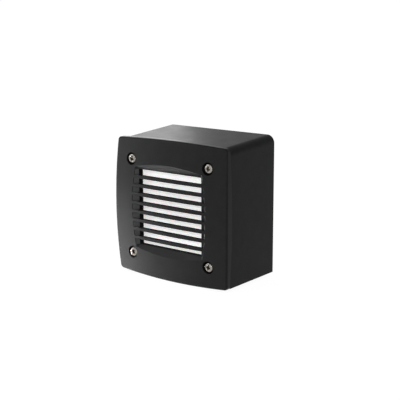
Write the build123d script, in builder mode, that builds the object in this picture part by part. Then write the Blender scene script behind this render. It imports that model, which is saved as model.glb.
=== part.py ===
"""Surface-mounted outdoor step light with a domed, louvred cover.

The light hangs on a wall. X runs to the right seen from the front, Y runs back into the
wall and Z runs up. The origin lies on the wall plane, behind the centre of the cover.
Most sizes along Y are given as a depth: the distance from the wall plane towards the
viewer, so a point at depth d has y = -d. All sizes are in millimetres.
"""

from build123d import *
import math
import os

# ---------------------------------------------------------------- driving dimensions

# Cover: a cushion-shaped cap whose front is part of a large sphere. Its width follows
# from what the housing holds, further down.
cover_bulge = 1.95  # how far the middle of each side swells out past the corners
cover_corner_radius = 3.0
cover_side_height = 4.1  # from the cover's back to the dome at its corners
dome_rise = 5.4  # from the corners to the crown
cover_edge_round = 1.4
cover_wall = 2.6
skirt_thickness = 4.8

# Housing: a box open at the front, a little larger at the wall, with a top that sheds rain.
housing_depth = 57.0
parting_gap = 0.3  # between the housing's rim and the cover
rim_inset = 0.4  # the housing's rim is this much smaller than the cover's corners
side_draft = 0.5  # each side leans out by this much from rim to wall
top_pitch = 3.6  # the top climbs by this much from rim to wall
bottom_rise = 0.5  # the bottom climbs by this much from rim to wall
housing_wall = 3.0
top_edge_radius = 6.5
bottom_edge_radius = 0.8
cavity_corner_radius = 3.5
rim_edge_round = 0.4

# Louvre
slot_count = 9
window_side_margin = 23.0  # from the cover's corner lines in to the ends of the slots
window_top_margin = 23.59  # the same, in to the first and the last slot
bar_height = 2.45
bar_drop = 4.2  # from the dome's crown back to the bars' flat rear
lip_drop = 3.9  # from the dome's crown back to the inner edge of the sloped border
border_run_corner = 1.25  # run of the border for each mm of rise, at its corners
border_run_middle = 2.2  # the same, at the middle of its sides
slot_corner_radius = 0.8
border_corner_radius = 3.0

# Diffuser and its frame
diffuser_drop = 9.0  # from the dome's crown back to the diffuser's front
diffuser_thickness = 3.0
diffuser_margin = 3.6  # how far the diffuser reaches past the window, all round
diffuser_corner_radius = 4.0
diffuser_gasket_thickness = 0.8
rebate_clearance = 0.2
rebate_wall = 2.2
rebate_depth = 2.6
frame_thickness = 2.0
frame_overlap = 2.4  # how far the frame reaches over the diffuser's edge
frame_screw_reach = 5.5  # from the rim round the diffuser out to its frame's screws
frame_boss_radius = 3.4
frame_tab_radius = 3.4

# Cover screws: M4 pan heads with a cross recess, and brass inserts
screw_inset = 16.0  # from the cover's corner lines in to the screws
screw_radius = 2.0
screw_length = 16.0
screw_head_radius = 4.0
screw_head_height = 3.1
screw_head_rim = 1.2
screw_head_drop = 3.5  # from the dome's surface at the screw back to the head's seat
screw_recess_span = 4.4
screw_recess_slot = 1.0
screw_recess_depth = 1.7
screw_turns = (18, -12, 35, 8)  # how each cross happens to stand, degrees
screw_clearance = 0.25
counterbore_clearance = 0.9
seal_thickness = 0.8
seal_radius = 3.8
retainer_radius = 3.6
retainer_thickness = 1.0
cover_boss_wall = 1.3
thread_clearance = 0.05
insert_radius = 2.8
insert_length = 8.0
pillar_radius = 4.6
pillar_drop = 2.5  # from the housing's rim back to the top of the screw pillars
pillar_hole_depth = 14.0
pillar_rib = 2.0

# Cover gasket
gasket_width = 1.9
gasket_groove_width = 2.0
gasket_groove_depth = 2.0
gasket_inset = 1.1  # from the cover's corner outline to the groove

# Back wall
wall_screw_inset = 10.0  # from the cover's side lines in to the wall screws
wall_screw_hole_radius = 2.5
wall_boss_radius = 5.5
wall_boss_height = 3.0
wall_seal_radius = 4.2
wall_seal_thickness = 1.7
coring_depth = 1.0
coring_land = 10.0
coring_rib = 9.0
coring_entry_land = 3.5  # left between the coring and the cable entry
coring_corner_radius = 3.0
cable_entry_reach = 14.0  # from the screws' line in to the cable entry
cable_entry_gap = 0.6  # between the grommet's inner flange and the bottom wall
cable_radius = 4.0
grommet_neck_radius = 7.0
grommet_flange_radius = 8.5
grommet_flange_thickness = 1.4
grommet_nose_radius = 5.2
grommet_nose_length = 4.0

# Mounting plate
plate_pillar_height = 6.0
plate_pillar_radius = 3.6
plate_inset = 2.0  # the plate's half width is this much less than the lampholder's radius
plate_corner_cut = 12.0
plate_thickness = 1.2
plate_screw_edge = 2.5  # from the plate's side edges in to its screws
plate_screw_room = 1.0  # between a plate screw's head and the lampholder
plate_screw_radius = 1.5
plate_screw_head_radius = 2.8
plate_screw_head_height = 1.8
plate_screw_length = 7.0
plate_screw_recess_span = 3.0
plate_screw_recess_slot = 0.7
plate_screw_recess_depth = 1.0
plate_bore_step = 4.5  # the plate's bore is this much smaller than the lampholder's

# Lampholder
holder_rim = 5.5  # from the contact channel out to the lampholder's edge
holder_bore_wall = 2.0  # from the bore out to the contact channel
holder_height = 11.5
holder_skin = 1.8
channel_half_width = 3.0
pin_inset = 11.0  # from the lamp's edge in to its pins
pin_turn = 12.0  # degrees from locked to free
holder_screw_radius = 1.4
holder_screw_head_radius = 2.4
holder_screw_head_height = 1.6
holder_screw_length = 12.0
holder_screw_recess_span = 2.8
holder_screw_recess_slot = 0.7
holder_screw_recess_depth = 1.0
contact_thickness = 1.0
contact_half_width = 2.0
contact_gap = 0.2

# Lamp
lamp_gap = 0.3
lamp_radius = 37.5
lamp_height = 17.0
lamp_edge_round = 2.0
lamp_wall = 1.6
lamp_boss_clearance = 1.5
lamp_boss_height = 9.0
lamp_rim_width = 3.0
lamp_lens_thickness = 1.5
lamp_lens_crown = 1.2
pin_radius = 1.5
pin_head_radius = 2.5
pin_neck_length = 3.3
pin_head_length = 1.2
pin_clearance = 0.35
board_inset = 1.5  # the board's radius is this much less than the lens's
board_thickness = 1.2
board_ledge = 1.5
board_drop = 6.0  # from the lamp's rim back to the board's front
chip_counts = (4, 10, 16)  # emitters in each ring, from the middle out
chip_ring_start = 8.0
chip_ring_pitch = 9.5
chip_size = 3.0
chip_height = 0.7
driver_board_clearance = 1.4
driver_board_depth_in_boss = 5.0
driver_ledge = 1.2
capacitor_radius = 4.0
capacitor_height = 8.0
coil_radius = 3.5
coil_height = 6.0
driver_chip_half = 4.0
driver_chip_height = 3.5
resistor_half = 2.0
resistor_height = 1.6
component_offset = 6.0  # of each component from the middle of the driver board, both ways

# Terminal block
block_entry_room = 3.5  # between the grommet and the block, for the supply's cores
block_holder_gap = 0.8  # between the block and the lampholder
block_bottom_gap = 0.5  # between the block and the housing's bottom wall
block_length = 20.0
block_height = 13.0
block_pad_height = 1.5
pole_pitch = 7.5
barrel_radius = 2.1
barrel_length = 16.0
barrel_depth = 6.0  # from the pad to the barrels' axis
wire_hole_radius = 1.4
block_wall = 1.05
clamp_screw_offset = 5.0
clamp_screw_radius = 1.2
clamp_screw_length = 5.6
clamp_access_radius = 1.7
fixing_screw_radius = 1.25
fixing_screw_length = 10.0
fixing_head_radius = 2.2
fixing_head_height = 1.4
fixing_recess_span = 2.6
fixing_recess_slot = 0.6
fixing_recess_depth = 0.9

lead_radius = 0.8
seat_gap = 0.02  # between pieces that are pressed or screwed together
rest_gap = 0.1  # between pieces that lie on each other

# ---------------------------------------------------------------- derived sizes

# Lampholder and lamp, from the lamp's radius
pin_circle_radius = lamp_radius - pin_inset
channel_inner_radius = pin_circle_radius - channel_half_width
channel_outer_radius = pin_circle_radius + channel_half_width
holder_radius = channel_outer_radius + holder_rim
holder_bore_radius = channel_inner_radius - holder_bore_wall
holder_screw_recess = holder_screw_head_radius + rest_gap
holder_screw_offset = channel_outer_radius + holder_screw_recess + 2 * rest_gap
holder_screw_places = [(0, holder_screw_offset), (0, -holder_screw_offset)]
lamp_boss_radius = holder_bore_radius - lamp_boss_clearance
lamp_lens_radius = lamp_radius - lamp_rim_width
board_radius = lamp_lens_radius - board_inset
driver_board_radius = lamp_boss_radius - lamp_wall - driver_board_clearance

# Width of the cover: the lampholder, the terminal block below it and the housing's wall
block_half_z = pole_pitch / 2 + barrel_radius + block_wall
wall_line = rim_inset + bottom_rise + housing_wall
block_space = block_holder_gap + 2 * block_half_z + block_bottom_gap
cover_half = holder_radius + block_space + wall_line
rim_half = cover_half - rim_inset
block_z = -(holder_radius + block_holder_gap + block_half_z)
pole_places = (block_z + pole_pitch / 2, block_z - pole_pitch / 2)

# Places across the wall
screw_offset = cover_half - screw_inset
screw_places = [
    (-screw_offset, screw_offset),
    (screw_offset, screw_offset),
    (-screw_offset, -screw_offset),
    (screw_offset, -screw_offset),
]
wall_screw_offset = cover_half - wall_screw_inset
wall_screw_places = [(-wall_screw_offset, 0), (wall_screw_offset, 0)]
cable_entry_x = cable_entry_reach - screw_offset
cable_entry_z = -(cover_half - wall_line - cable_entry_gap - grommet_flange_radius)
coring_lower_limit = -cable_entry_z - grommet_flange_radius - coring_entry_land
block_x = cable_entry_x + grommet_flange_radius + block_entry_room + block_length / 2
plate_half = holder_radius - plate_inset
plate_bore_radius = holder_bore_radius - plate_bore_step
plate_screw_x = plate_half - plate_screw_edge
plate_screw_radial = holder_radius + plate_screw_head_radius + plate_screw_room
plate_screw_z = math.sqrt(plate_screw_radial**2 - plate_screw_x**2)
plate_screw_places = [(-plate_screw_x, -plate_screw_z), (plate_screw_x, plate_screw_z)]

# Depths of the cover and the dome
cover_back_depth = housing_depth + parting_gap
cover_edge_depth = cover_back_depth + cover_side_height
crown_depth = cover_edge_depth + dome_rise
dome_radius = (2 * cover_half**2 + dome_rise**2) / (2 * dome_rise)
dome_centre_depth = crown_depth - dome_radius
dome_centre = (0, -dome_centre_depth, 0)
cutter_depth = crown_depth + 1.0  # past the front of everything

# Louvre
window_half_x = cover_half - window_side_margin
window_half_z = cover_half - window_top_margin
slot_height = (2 * window_half_z - (slot_count - 1) * bar_height) / slot_count
slot_pitch = slot_height + bar_height
lip_depth = crown_depth - lip_drop
bar_back_depth = crown_depth - bar_drop
first_bar = window_half_z - slot_height - bar_height / 2
bar_places = [first_bar - i * slot_pitch for i in range(slot_count - 1)]

# Diffuser and frame
diffuser_depth = crown_depth - diffuser_drop
diffuser_back_depth = diffuser_depth - diffuser_thickness
diffuser_half_x = window_half_x + diffuser_margin
diffuser_half_z = window_half_z + diffuser_margin
land_depth = diffuser_depth + diffuser_gasket_thickness
rebate_back_depth = diffuser_depth - rebate_depth
rebate_reach = rebate_clearance + rebate_wall
frame_back_depth = diffuser_back_depth - frame_thickness
frame_screw_x = diffuser_half_x + rebate_reach + frame_screw_reach
frame_screw_z = diffuser_half_z + rebate_reach + frame_screw_reach
frame_screw_places = [
    (0, frame_screw_z),
    (frame_screw_x, 0),
    (0, -frame_screw_z),
    (-frame_screw_x, 0),
]

# Cover screws
dome_depth_at_screws = dome_centre_depth + math.sqrt(dome_radius**2 - 2 * screw_offset**2)
seal_depth = dome_depth_at_screws - screw_head_drop - seal_thickness
head_seat_depth = seal_depth + seal_thickness
screw_tip_depth = head_seat_depth - screw_length
counterbore_radius = screw_head_radius + counterbore_clearance
cover_boss_radius = counterbore_radius + cover_boss_wall
pillar_depth = housing_depth - pillar_drop

# Gasket between cover and housing
gasket_groove_outer = cover_half - gasket_inset
gasket_groove_inner = gasket_groove_outer - gasket_groove_width
gasket_corner_radius = top_edge_radius - (rim_half - gasket_groove_outer)

# Depths inside the housing
plate_back_depth = housing_wall + plate_pillar_height
plate_front_depth = plate_back_depth + plate_thickness
holder_back_depth = plate_front_depth
holder_front_depth = holder_back_depth + holder_height
lamp_back_depth = holder_front_depth + lamp_gap
lamp_rim_depth = lamp_back_depth + lamp_height
board_front_depth = lamp_rim_depth - board_drop
board_back_depth = board_front_depth - board_thickness
pin_head_depth = lamp_back_depth - pin_neck_length
pin_tip_depth = pin_head_depth - pin_head_length
contact_depth = pin_tip_depth - contact_gap
driver_board_depth = lamp_back_depth - lamp_boss_height + driver_board_depth_in_boss
block_back_depth = housing_wall + block_pad_height
block_front_depth = block_back_depth + block_height
barrel_axis_depth = block_back_depth + barrel_depth

# ---------------------------------------------------------------- helpers


def front(depth):
    """Plane parallel to the wall at a depth, seen from the front."""
    return Plane.XZ.offset(depth)


def post(x, z, radius, start, end, mode=Mode.ADD):
    """Round post or hole between two depths."""
    with BuildSketch(front(start)) as section:
        with Locations((x, z)):
            Circle(radius)
    extrude(section.sketch, amount=end - start, mode=mode)


def block(half_x, half_z, corner_radius, start, end, centre=(0, 0), mode=Mode.ADD):
    """Plate or pocket with rounded corners between two depths."""
    with BuildSketch(front(start)) as section:
        with Locations(centre):
            RectangleRounded(2 * half_x, 2 * half_z, corner_radius)
    extrude(section.sketch, amount=end - start, mode=mode)


def cushion(half_x, half_z, bulge_x, bulge_z, corner_radius, depth):
    """Square outline whose four sides are arcs that swell outwards."""
    with BuildSketch(front(depth)) as outline:
        with BuildLine():
            ThreePointArc((-half_x, half_z), (0, half_z + bulge_z), (half_x, half_z))
            ThreePointArc((half_x, half_z), (half_x + bulge_x, 0), (half_x, -half_z))
            ThreePointArc((half_x, -half_z), (0, -half_z - bulge_z), (-half_x, -half_z))
            ThreePointArc((-half_x, -half_z), (-half_x - bulge_x, 0), (-half_x, half_z))
        make_face()
        fillet(outline.vertices(), corner_radius)
    return outline.sketch


def housing_section(depth, inset, top_radius, bottom_radius):
    """The housing's outline at a depth, drawn in by an inset."""
    share = 1 - depth / housing_depth
    half = rim_half + side_draft * share - inset
    top = rim_half + top_pitch * share - inset
    bottom = -rim_half + bottom_rise * share + inset
    with BuildSketch(front(depth)) as outline:
        with BuildLine():
            Polyline((-half, bottom), (half, bottom), (half, top), (-half, top), close=True)
        make_face()
        corners = outline.vertices().group_by(Axis.Y)
        fillet(corners[-1], top_radius)
        fillet(corners[0], bottom_radius)
    return outline.sketch


def turned(x, z, profile):
    """Turn a list of (radius, depth) points about the axis through (x, z) along Y."""
    with BuildSketch(Plane(origin=(x, 0, z), x_dir=(1, 0, 0), z_dir=(0, 0, 1))) as half:
        with BuildLine():
            Polyline(*[(radius, -depth) for radius, depth in profile], close=True)
        make_face()
    revolve(half.sketch, axis=Axis((x, 0, z), (0, 1, 0)))


def pan_head(x, z, radius, height, rim, seat):
    """Pan head: a short cylinder under a domed top."""
    top = seat + height
    shoulder = radius * 0.62
    with BuildSketch(Plane(origin=(x, 0, z), x_dir=(1, 0, 0), z_dir=(0, 0, 1))) as half:
        with BuildLine():
            Polyline((0, -top), (0, -seat), (radius, -seat), (radius, -seat - rim))
            TangentArc((radius, -seat - rim), (shoulder, -top + 0.08 * height), tangent=(0, -1))
            Line((shoulder, -top + 0.08 * height), (0, -top))
        make_face()
    revolve(half.sketch, axis=Axis((x, 0, z), (0, 1, 0)))


def cross_recess(x, z, angle, span, slot, top, depth):
    """Cross-shaped driver recess cut into a head."""
    with BuildSketch(front(top)) as cross:
        with Locations(Location((x, z), angle)):
            Rectangle(span, slot)
            Rectangle(slot, span)
    extrude(cross.sketch, amount=-depth, taper=9, mode=Mode.SUBTRACT)


def arc_strip(start_angle, end_angle, inner, outer, start, end, mode=Mode.ADD):
    """Flat strip that follows the pin circle between two angles."""
    middle = math.radians((start_angle + end_angle) / 2)
    first = math.radians(start_angle)
    last = math.radians(end_angle)

    def at(radius, angle):
        return (radius * math.cos(angle), radius * math.sin(angle))

    with BuildSketch(front(start)) as section:
        with BuildLine():
            ThreePointArc(at(inner, first), at(inner, middle), at(inner, last))
            Line(at(inner, last), at(outer, last))
            ThreePointArc(at(outer, last), at(outer, middle), at(outer, first))
            Line(at(outer, first), at(inner, first))
        make_face()
    extrude(section.sketch, amount=end - start, mode=mode)


def tube(points, radius):
    """Round lead along straight runs joined by tangent arcs."""
    spots = [Vector(x, -depth, z) for x, z, depth in points]
    radii = []
    for before, corner, after in zip(spots, spots[1:], spots[2:]):
        half_turn = math.radians((corner - before).get_angle(after - corner)) / 2
        shorter = min((corner - before).length, (after - corner).length)
        radii.append(0.45 * shorter / math.tan(half_turn))
    print("lead radii", [round(value, 1) for value in radii])
    with BuildLine() as route:
        FilletPolyline(*spots, radius=radii)
    start = Plane(origin=spots[0], z_dir=spots[1] - spots[0])
    with BuildSketch(start) as section:
        Circle(radius)
    sweep(section.sketch, path=route.line)


# ---------------------------------------------------------------- front cover

with BuildPart() as louvre_cut:
    # The window, the sloped border in front of it, and the bars left standing in both.
    block(window_half_x, window_half_z, slot_corner_radius, rebate_back_depth, lip_depth)
    rise = cutter_depth - lip_depth
    corner_run = border_run_corner * rise
    bulge = border_run_middle * rise - corner_run
    with BuildSketch(front(lip_depth)) as lip:
        RectangleRounded(2 * window_half_x, 2 * window_half_z, slot_corner_radius)
    mouth = cushion(
        window_half_x + corner_run,
        window_half_z + corner_run,
        bulge,
        bulge,
        border_corner_radius,
        cutter_depth,
    )
    loft([lip.sketch, mouth], ruled=True)
    for z in bar_places:
        block(cover_half, bar_height / 2, 0.3, bar_back_depth, cutter_depth + 1, (0, z), Mode.SUBTRACT)

with BuildPart() as cover_pocket:
    # The hollow behind the dome, round the window's walls and the screw bosses.
    pocket_half = cover_half - skirt_thickness
    block(pocket_half, pocket_half, cover_corner_radius, cover_back_depth, crown_depth)
    with Locations(dome_centre):
        Sphere(dome_radius - cover_wall, mode=Mode.INTERSECT)
    block(
        diffuser_half_x + rebate_reach,
        diffuser_half_z + rebate_reach,
        diffuser_corner_radius + rebate_reach,
        cover_back_depth,
        crown_depth,
        mode=Mode.SUBTRACT,
    )
    for x, z in screw_places:
        post(x, z, cover_boss_radius, cover_back_depth, crown_depth, Mode.SUBTRACT)
    for x, z in frame_screw_places:
        post(x, z, frame_boss_radius, cover_back_depth, crown_depth, Mode.SUBTRACT)

with BuildPart() as front_cover:
    body = cushion(cover_half, cover_half, cover_bulge, cover_bulge, cover_corner_radius, cover_back_depth)
    extrude(body, amount=cutter_depth - cover_back_depth)
    with Locations(dome_centre):
        Sphere(dome_radius, mode=Mode.INTERSECT)
    fillet(front_cover.faces().sort_by(Axis.Y)[0].edges(), cover_edge_round)
    add(cover_pocket.part, mode=Mode.SUBTRACT)
    # Rim round the diffuser and the bosses of its frame reach back into the housing.
    block(
        diffuser_half_x + rebate_reach,
        diffuser_half_z + rebate_reach,
        diffuser_corner_radius + rebate_reach,
        rebate_back_depth,
        cover_back_depth,
    )
    for x, z in frame_screw_places:
        post(x, z, frame_boss_radius, diffuser_back_depth, cover_back_depth)
    for x, z in screw_places:
        clear = retainer_radius + screw_clearance
        post(x, z, clear, rebate_back_depth, cover_back_depth, Mode.SUBTRACT)
    block(
        diffuser_half_x + rebate_clearance,
        diffuser_half_z + rebate_clearance,
        diffuser_corner_radius + rebate_clearance,
        diffuser_back_depth - 1,
        land_depth,
        mode=Mode.SUBTRACT,
    )
    add(louvre_cut.part, mode=Mode.SUBTRACT)
    for x, z in screw_places:
        post(x, z, counterbore_radius, seal_depth, cutter_depth, Mode.SUBTRACT)
        post(x, z, screw_radius + screw_clearance, rebate_back_depth - 1, cutter_depth, Mode.SUBTRACT)
    for x, z in frame_screw_places:
        hole_end = frame_back_depth + plate_screw_length + 1
        post(x, z, plate_screw_radius + seat_gap, diffuser_back_depth - 1, hole_end, Mode.SUBTRACT)
    with BuildSketch(front(cover_back_depth)) as groove:
        RectangleRounded(2 * gasket_groove_outer, 2 * gasket_groove_outer, gasket_corner_radius)
        inner = gasket_corner_radius - gasket_groove_width
        RectangleRounded(2 * gasket_groove_inner, 2 * gasket_groove_inner, inner, mode=Mode.SUBTRACT)
    extrude(groove.sketch, amount=gasket_groove_depth, mode=Mode.SUBTRACT)

with BuildPart() as cover_gasket:
    slack = (gasket_groove_width - gasket_width) / 2
    with BuildSketch(front(housing_depth)) as ring:
        outer = gasket_groove_outer - slack
        RectangleRounded(2 * outer, 2 * outer, gasket_corner_radius - slack)
        inner_half = gasket_groove_inner + slack
        inner = gasket_corner_radius - slack - gasket_width
        RectangleRounded(2 * inner_half, 2 * inner_half, inner, mode=Mode.SUBTRACT)
    extrude(ring.sketch, amount=parting_gap + gasket_groove_depth)

# ---------------------------------------------------------------- diffuser

with BuildPart() as diffuser:
    block(diffuser_half_x, diffuser_half_z, diffuser_corner_radius, diffuser_back_depth, diffuser_depth)
    fillet(diffuser.faces().sort_by(Axis.Y)[0].edges(), 0.4)

with BuildPart() as diffuser_gasket:
    block(diffuser_half_x, diffuser_half_z, diffuser_corner_radius, diffuser_depth, land_depth)
    block(
        window_half_x + rebate_clearance,
        window_half_z + rebate_clearance,
        slot_corner_radius,
        diffuser_depth,
        land_depth,
        mode=Mode.SUBTRACT,
    )

with BuildPart() as diffuser_frame:
    block(
        diffuser_half_x + rebate_reach,
        diffuser_half_z + rebate_reach,
        diffuser_corner_radius + rebate_reach,
        frame_back_depth,
        diffuser_back_depth,
    )
    for x, z in frame_screw_places:
        post(x, z, frame_tab_radius, frame_back_depth, diffuser_back_depth)
    for half_x, half_z in ((frame_screw_x, frame_tab_radius), (frame_tab_radius, frame_screw_z)):
        block(half_x, half_z, slot_corner_radius, frame_back_depth, diffuser_back_depth)
    block(
        diffuser_half_x - frame_overlap,
        diffuser_half_z - frame_overlap,
        diffuser_corner_radius,
        frame_back_depth,
        diffuser_back_depth,
        mode=Mode.SUBTRACT,
    )
    for x, z in screw_places:
        clear = pillar_radius + 4 * screw_clearance
        post(x, z, clear, frame_back_depth, diffuser_back_depth, Mode.SUBTRACT)
    for x, z in frame_screw_places:
        clear = plate_screw_radius + seat_gap
        post(x, z, clear, frame_back_depth, diffuser_back_depth, Mode.SUBTRACT)

with BuildPart() as diffuser_frame_screws:
    for x, z in frame_screw_places:
        seat = frame_back_depth
        turned(
            x,
            z,
            [
                (0, seat - plate_screw_head_height),
                (plate_screw_head_radius * 0.7, seat - plate_screw_head_height),
                (plate_screw_head_radius, seat - plate_screw_head_height * 0.5),
                (plate_screw_head_radius, seat),
                (plate_screw_radius, seat),
                (plate_screw_radius, seat + plate_screw_length - 1),
                (0, seat + plate_screw_length),
            ],
        )

# ---------------------------------------------------------------- cover screws

cover_screws = []
screw_seals = []
for number, ((x, z), angle) in enumerate(zip(screw_places, screw_turns), start=1):
    with BuildPart() as cover_screw:
        pan_head(x, z, screw_head_radius, screw_head_height, screw_head_rim, head_seat_depth)
        shank = screw_radius - thread_clearance
        post(x, z, shank, screw_tip_depth, head_seat_depth)
        chamfer(cover_screw.faces().sort_by(Axis.Y)[-1].edges(), 0.5)
        top = head_seat_depth + screw_head_height
        cross_recess(x, z, angle, screw_recess_span, screw_recess_slot, top, screw_recess_depth)
    cover_screw.part.label = f"cover_screw_{number}"
    cover_screws.append(cover_screw.part)

    with BuildPart() as screw_seal:
        post(x, z, seal_radius, seal_depth, head_seat_depth)
        post(x, z, screw_radius + thread_clearance / 2, seal_depth, head_seat_depth, Mode.SUBTRACT)
    screw_seal.part.label = f"screw_seal_{number}"
    screw_seals.append(screw_seal.part)

with BuildPart() as screw_retainers:
    for x, z in screw_places:
        start = cover_back_depth - retainer_thickness
        post(x, z, retainer_radius, start, cover_back_depth)
        post(x, z, screw_radius, start, cover_back_depth, Mode.SUBTRACT)

# ---------------------------------------------------------------- housing

with BuildPart() as housing:
    at_wall = housing_section(0, 0, top_edge_radius, bottom_edge_radius)
    at_rim = housing_section(housing_depth, 0, top_edge_radius, bottom_edge_radius)
    loft([at_wall, at_rim])
    rim_edges = housing.faces().sort_by(Axis.Y)[0].edges()
    fillet(rim_edges, rim_edge_round)
    floor = housing_section(housing_wall, housing_wall, cavity_corner_radius, cavity_corner_radius)
    mouth = housing_section(housing_depth, housing_wall, cavity_corner_radius, cavity_corner_radius)
    loft([floor, mouth], mode=Mode.SUBTRACT)
    # Screw pillars in the corners, each tied to the two walls beside it.
    for x, z in screw_places:
        post(x, z, pillar_radius, housing_wall, pillar_depth)
        reach = rim_half - housing_wall / 2 - abs(x)
        side_centre = (x + math.copysign(reach / 2, x), z)
        block(reach / 2, pillar_rib / 2, pillar_rib / 4, housing_wall, pillar_depth - 1, side_centre)
        upright_centre = (x, z + math.copysign(reach / 2, z))
        block(pillar_rib / 2, reach / 2, pillar_rib / 4, housing_wall, pillar_depth - 1, upright_centre)
        post(x, z, insert_radius + seat_gap, pillar_depth - insert_length, pillar_depth, Mode.SUBTRACT)
        hole_end = pillar_depth - pillar_hole_depth
        post(x, z, screw_radius + screw_clearance, hole_end, pillar_depth, Mode.SUBTRACT)
    # Pillars of the mounting plate.
    for x, z in plate_screw_places:
        post(x, z, plate_pillar_radius, housing_wall, plate_back_depth)
        post(x, z, plate_screw_radius + seat_gap, housing_wall / 2, plate_back_depth, Mode.SUBTRACT)
    # Bosses and holes for the wall screws, each with a seat for its seal.
    for x, z in wall_screw_places:
        boss_top = housing_wall + wall_boss_height
        post(x, z, wall_boss_radius, housing_wall, boss_top)
        seat = boss_top - wall_seal_thickness + rest_gap
        post(x, z, wall_seal_radius + rest_gap / 2, seat, boss_top, Mode.SUBTRACT)
        post(x, z, wall_screw_hole_radius, 0, boss_top, Mode.SUBTRACT)
    # Cable entry, with a shallow seat for the grommet's outer flange.
    neck = grommet_neck_radius + seat_gap
    post(cable_entry_x, cable_entry_z, neck, 0, housing_wall, Mode.SUBTRACT)
    flange_seat = grommet_flange_radius + rest_gap
    post(cable_entry_x, cable_entry_z, flange_seat, 0, grommet_flange_thickness, Mode.SUBTRACT)
    # Pad under the terminal block.
    pad = (block_x, block_z)
    block(block_length / 2, block_half_z, 1.0, housing_wall, block_back_depth, pad)
    post(block_x, block_z, fixing_screw_radius + seat_gap, 1.0, block_back_depth, Mode.SUBTRACT)
    # Shallow coring of the back, which leaves a land all round and a cross of ribs.
    for side in (-1, 1):
        for low, high in ((coring_rib, rim_half - coring_land), (-coring_lower_limit, -coring_rib)):
            width = rim_half - coring_land - coring_rib
            centre = (side * (coring_rib + width / 2), (low + high) / 2)
            half_z = (high - low) / 2
            block(width / 2, half_z, coring_corner_radius, 0, coring_depth, centre, Mode.SUBTRACT)

with BuildPart() as threaded_inserts:
    for x, z in screw_places:
        post(x, z, insert_radius, pillar_depth - insert_length, pillar_depth)
        post(x, z, screw_radius, pillar_depth - insert_length, pillar_depth, Mode.SUBTRACT)

with BuildPart() as wall_screw_seals:
    for x, z in wall_screw_places:
        boss_top = housing_wall + wall_boss_height
        start = boss_top - wall_seal_thickness + rest_gap
        post(x, z, wall_seal_radius, start, start + wall_seal_thickness)
        post(x, z, wall_screw_hole_radius, start, start + wall_seal_thickness, Mode.SUBTRACT)

with BuildPart() as cable_grommet:
    inside = housing_wall + seat_gap
    turned(
        cable_entry_x,
        cable_entry_z,
        [
            (cable_radius, rest_gap),
            (grommet_flange_radius, rest_gap),
            (grommet_flange_radius, grommet_flange_thickness - seat_gap),
            (grommet_neck_radius, grommet_flange_thickness - seat_gap),
            (grommet_neck_radius, inside),
            (grommet_flange_radius, inside),
            (grommet_flange_radius, inside + grommet_flange_thickness),
            (grommet_nose_radius, inside + grommet_flange_thickness + 1),
            (cable_radius + 0.8, inside + grommet_flange_thickness + grommet_nose_length),
            (cable_radius, inside + grommet_flange_thickness + grommet_nose_length),
        ],
    )

# ---------------------------------------------------------------- mounting plate and lampholder

with BuildPart() as mounting_plate:
    with BuildSketch(front(plate_back_depth)) as plate:
        Rectangle(2 * plate_half, 2 * plate_half)
        cut_corners = [
            corner for corner in plate.vertices() if corner.X * corner.Y * plate_screw_places[0][0] > 0
        ]
        chamfer(cut_corners, plate_corner_cut)
        Circle(plate_bore_radius, mode=Mode.SUBTRACT)
    extrude(plate.sketch, amount=plate_thickness)
    for x, z in plate_screw_places:
        clear = plate_screw_radius + seat_gap
        post(x, z, clear, plate_back_depth, plate_front_depth, Mode.SUBTRACT)
    for x, z in holder_screw_places:
        clear = holder_screw_radius + seat_gap
        post(x, z, clear, plate_back_depth, plate_front_depth, Mode.SUBTRACT)

with BuildPart() as plate_screws:
    for x, z in plate_screw_places:
        pan_head(
            x,
            z,
            plate_screw_head_radius,
            plate_screw_head_height,
            plate_screw_head_height * 0.4,
            plate_front_depth,
        )
        post(x, z, plate_screw_radius, plate_front_depth - plate_screw_length, plate_front_depth)
        top = plate_front_depth + plate_screw_head_height
        span = plate_screw_recess_span
        cross_recess(x, z, 30, span, plate_screw_recess_slot, top, plate_screw_recess_depth)

# Leads: (x, z, depth) points, from inside the terminal block's barrels to the back of
# the lampholder's contacts, where they are soldered.
lead_end_depth = contact_depth - contact_thickness - rest_gap - lead_radius


def on_contact(angle):
    """Point at the back of a contact strip where a lead ends."""
    turn = math.radians(angle)
    radius = pin_circle_radius + lead_radius / 2
    return (radius * math.cos(turn), radius * math.sin(turn), lead_end_depth)


lead_live_route = [
    (block_x + clamp_screw_offset / 2, pole_places[0], barrel_axis_depth),
    (10.5, pole_places[0], barrel_axis_depth),
    (19.0, -40.6, 11.6),
    (27.2, -31.3, 13.4),
    on_contact(-47.5),
]
lead_neutral_route = [
    (block_x + clamp_screw_offset / 2, pole_places[1], barrel_axis_depth),
    (11.0, pole_places[1], barrel_axis_depth),
    (20.5, -47.0, 10.9),
    (31.0, -37.5, 12.2),
    (36.5, -22.8, 13.6),
    on_contact(-29.5),
]

with BuildPart() as lead_live:
    tube(lead_live_route, lead_radius)

with BuildPart() as lead_neutral:
    tube(lead_neutral_route, lead_radius)

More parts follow.
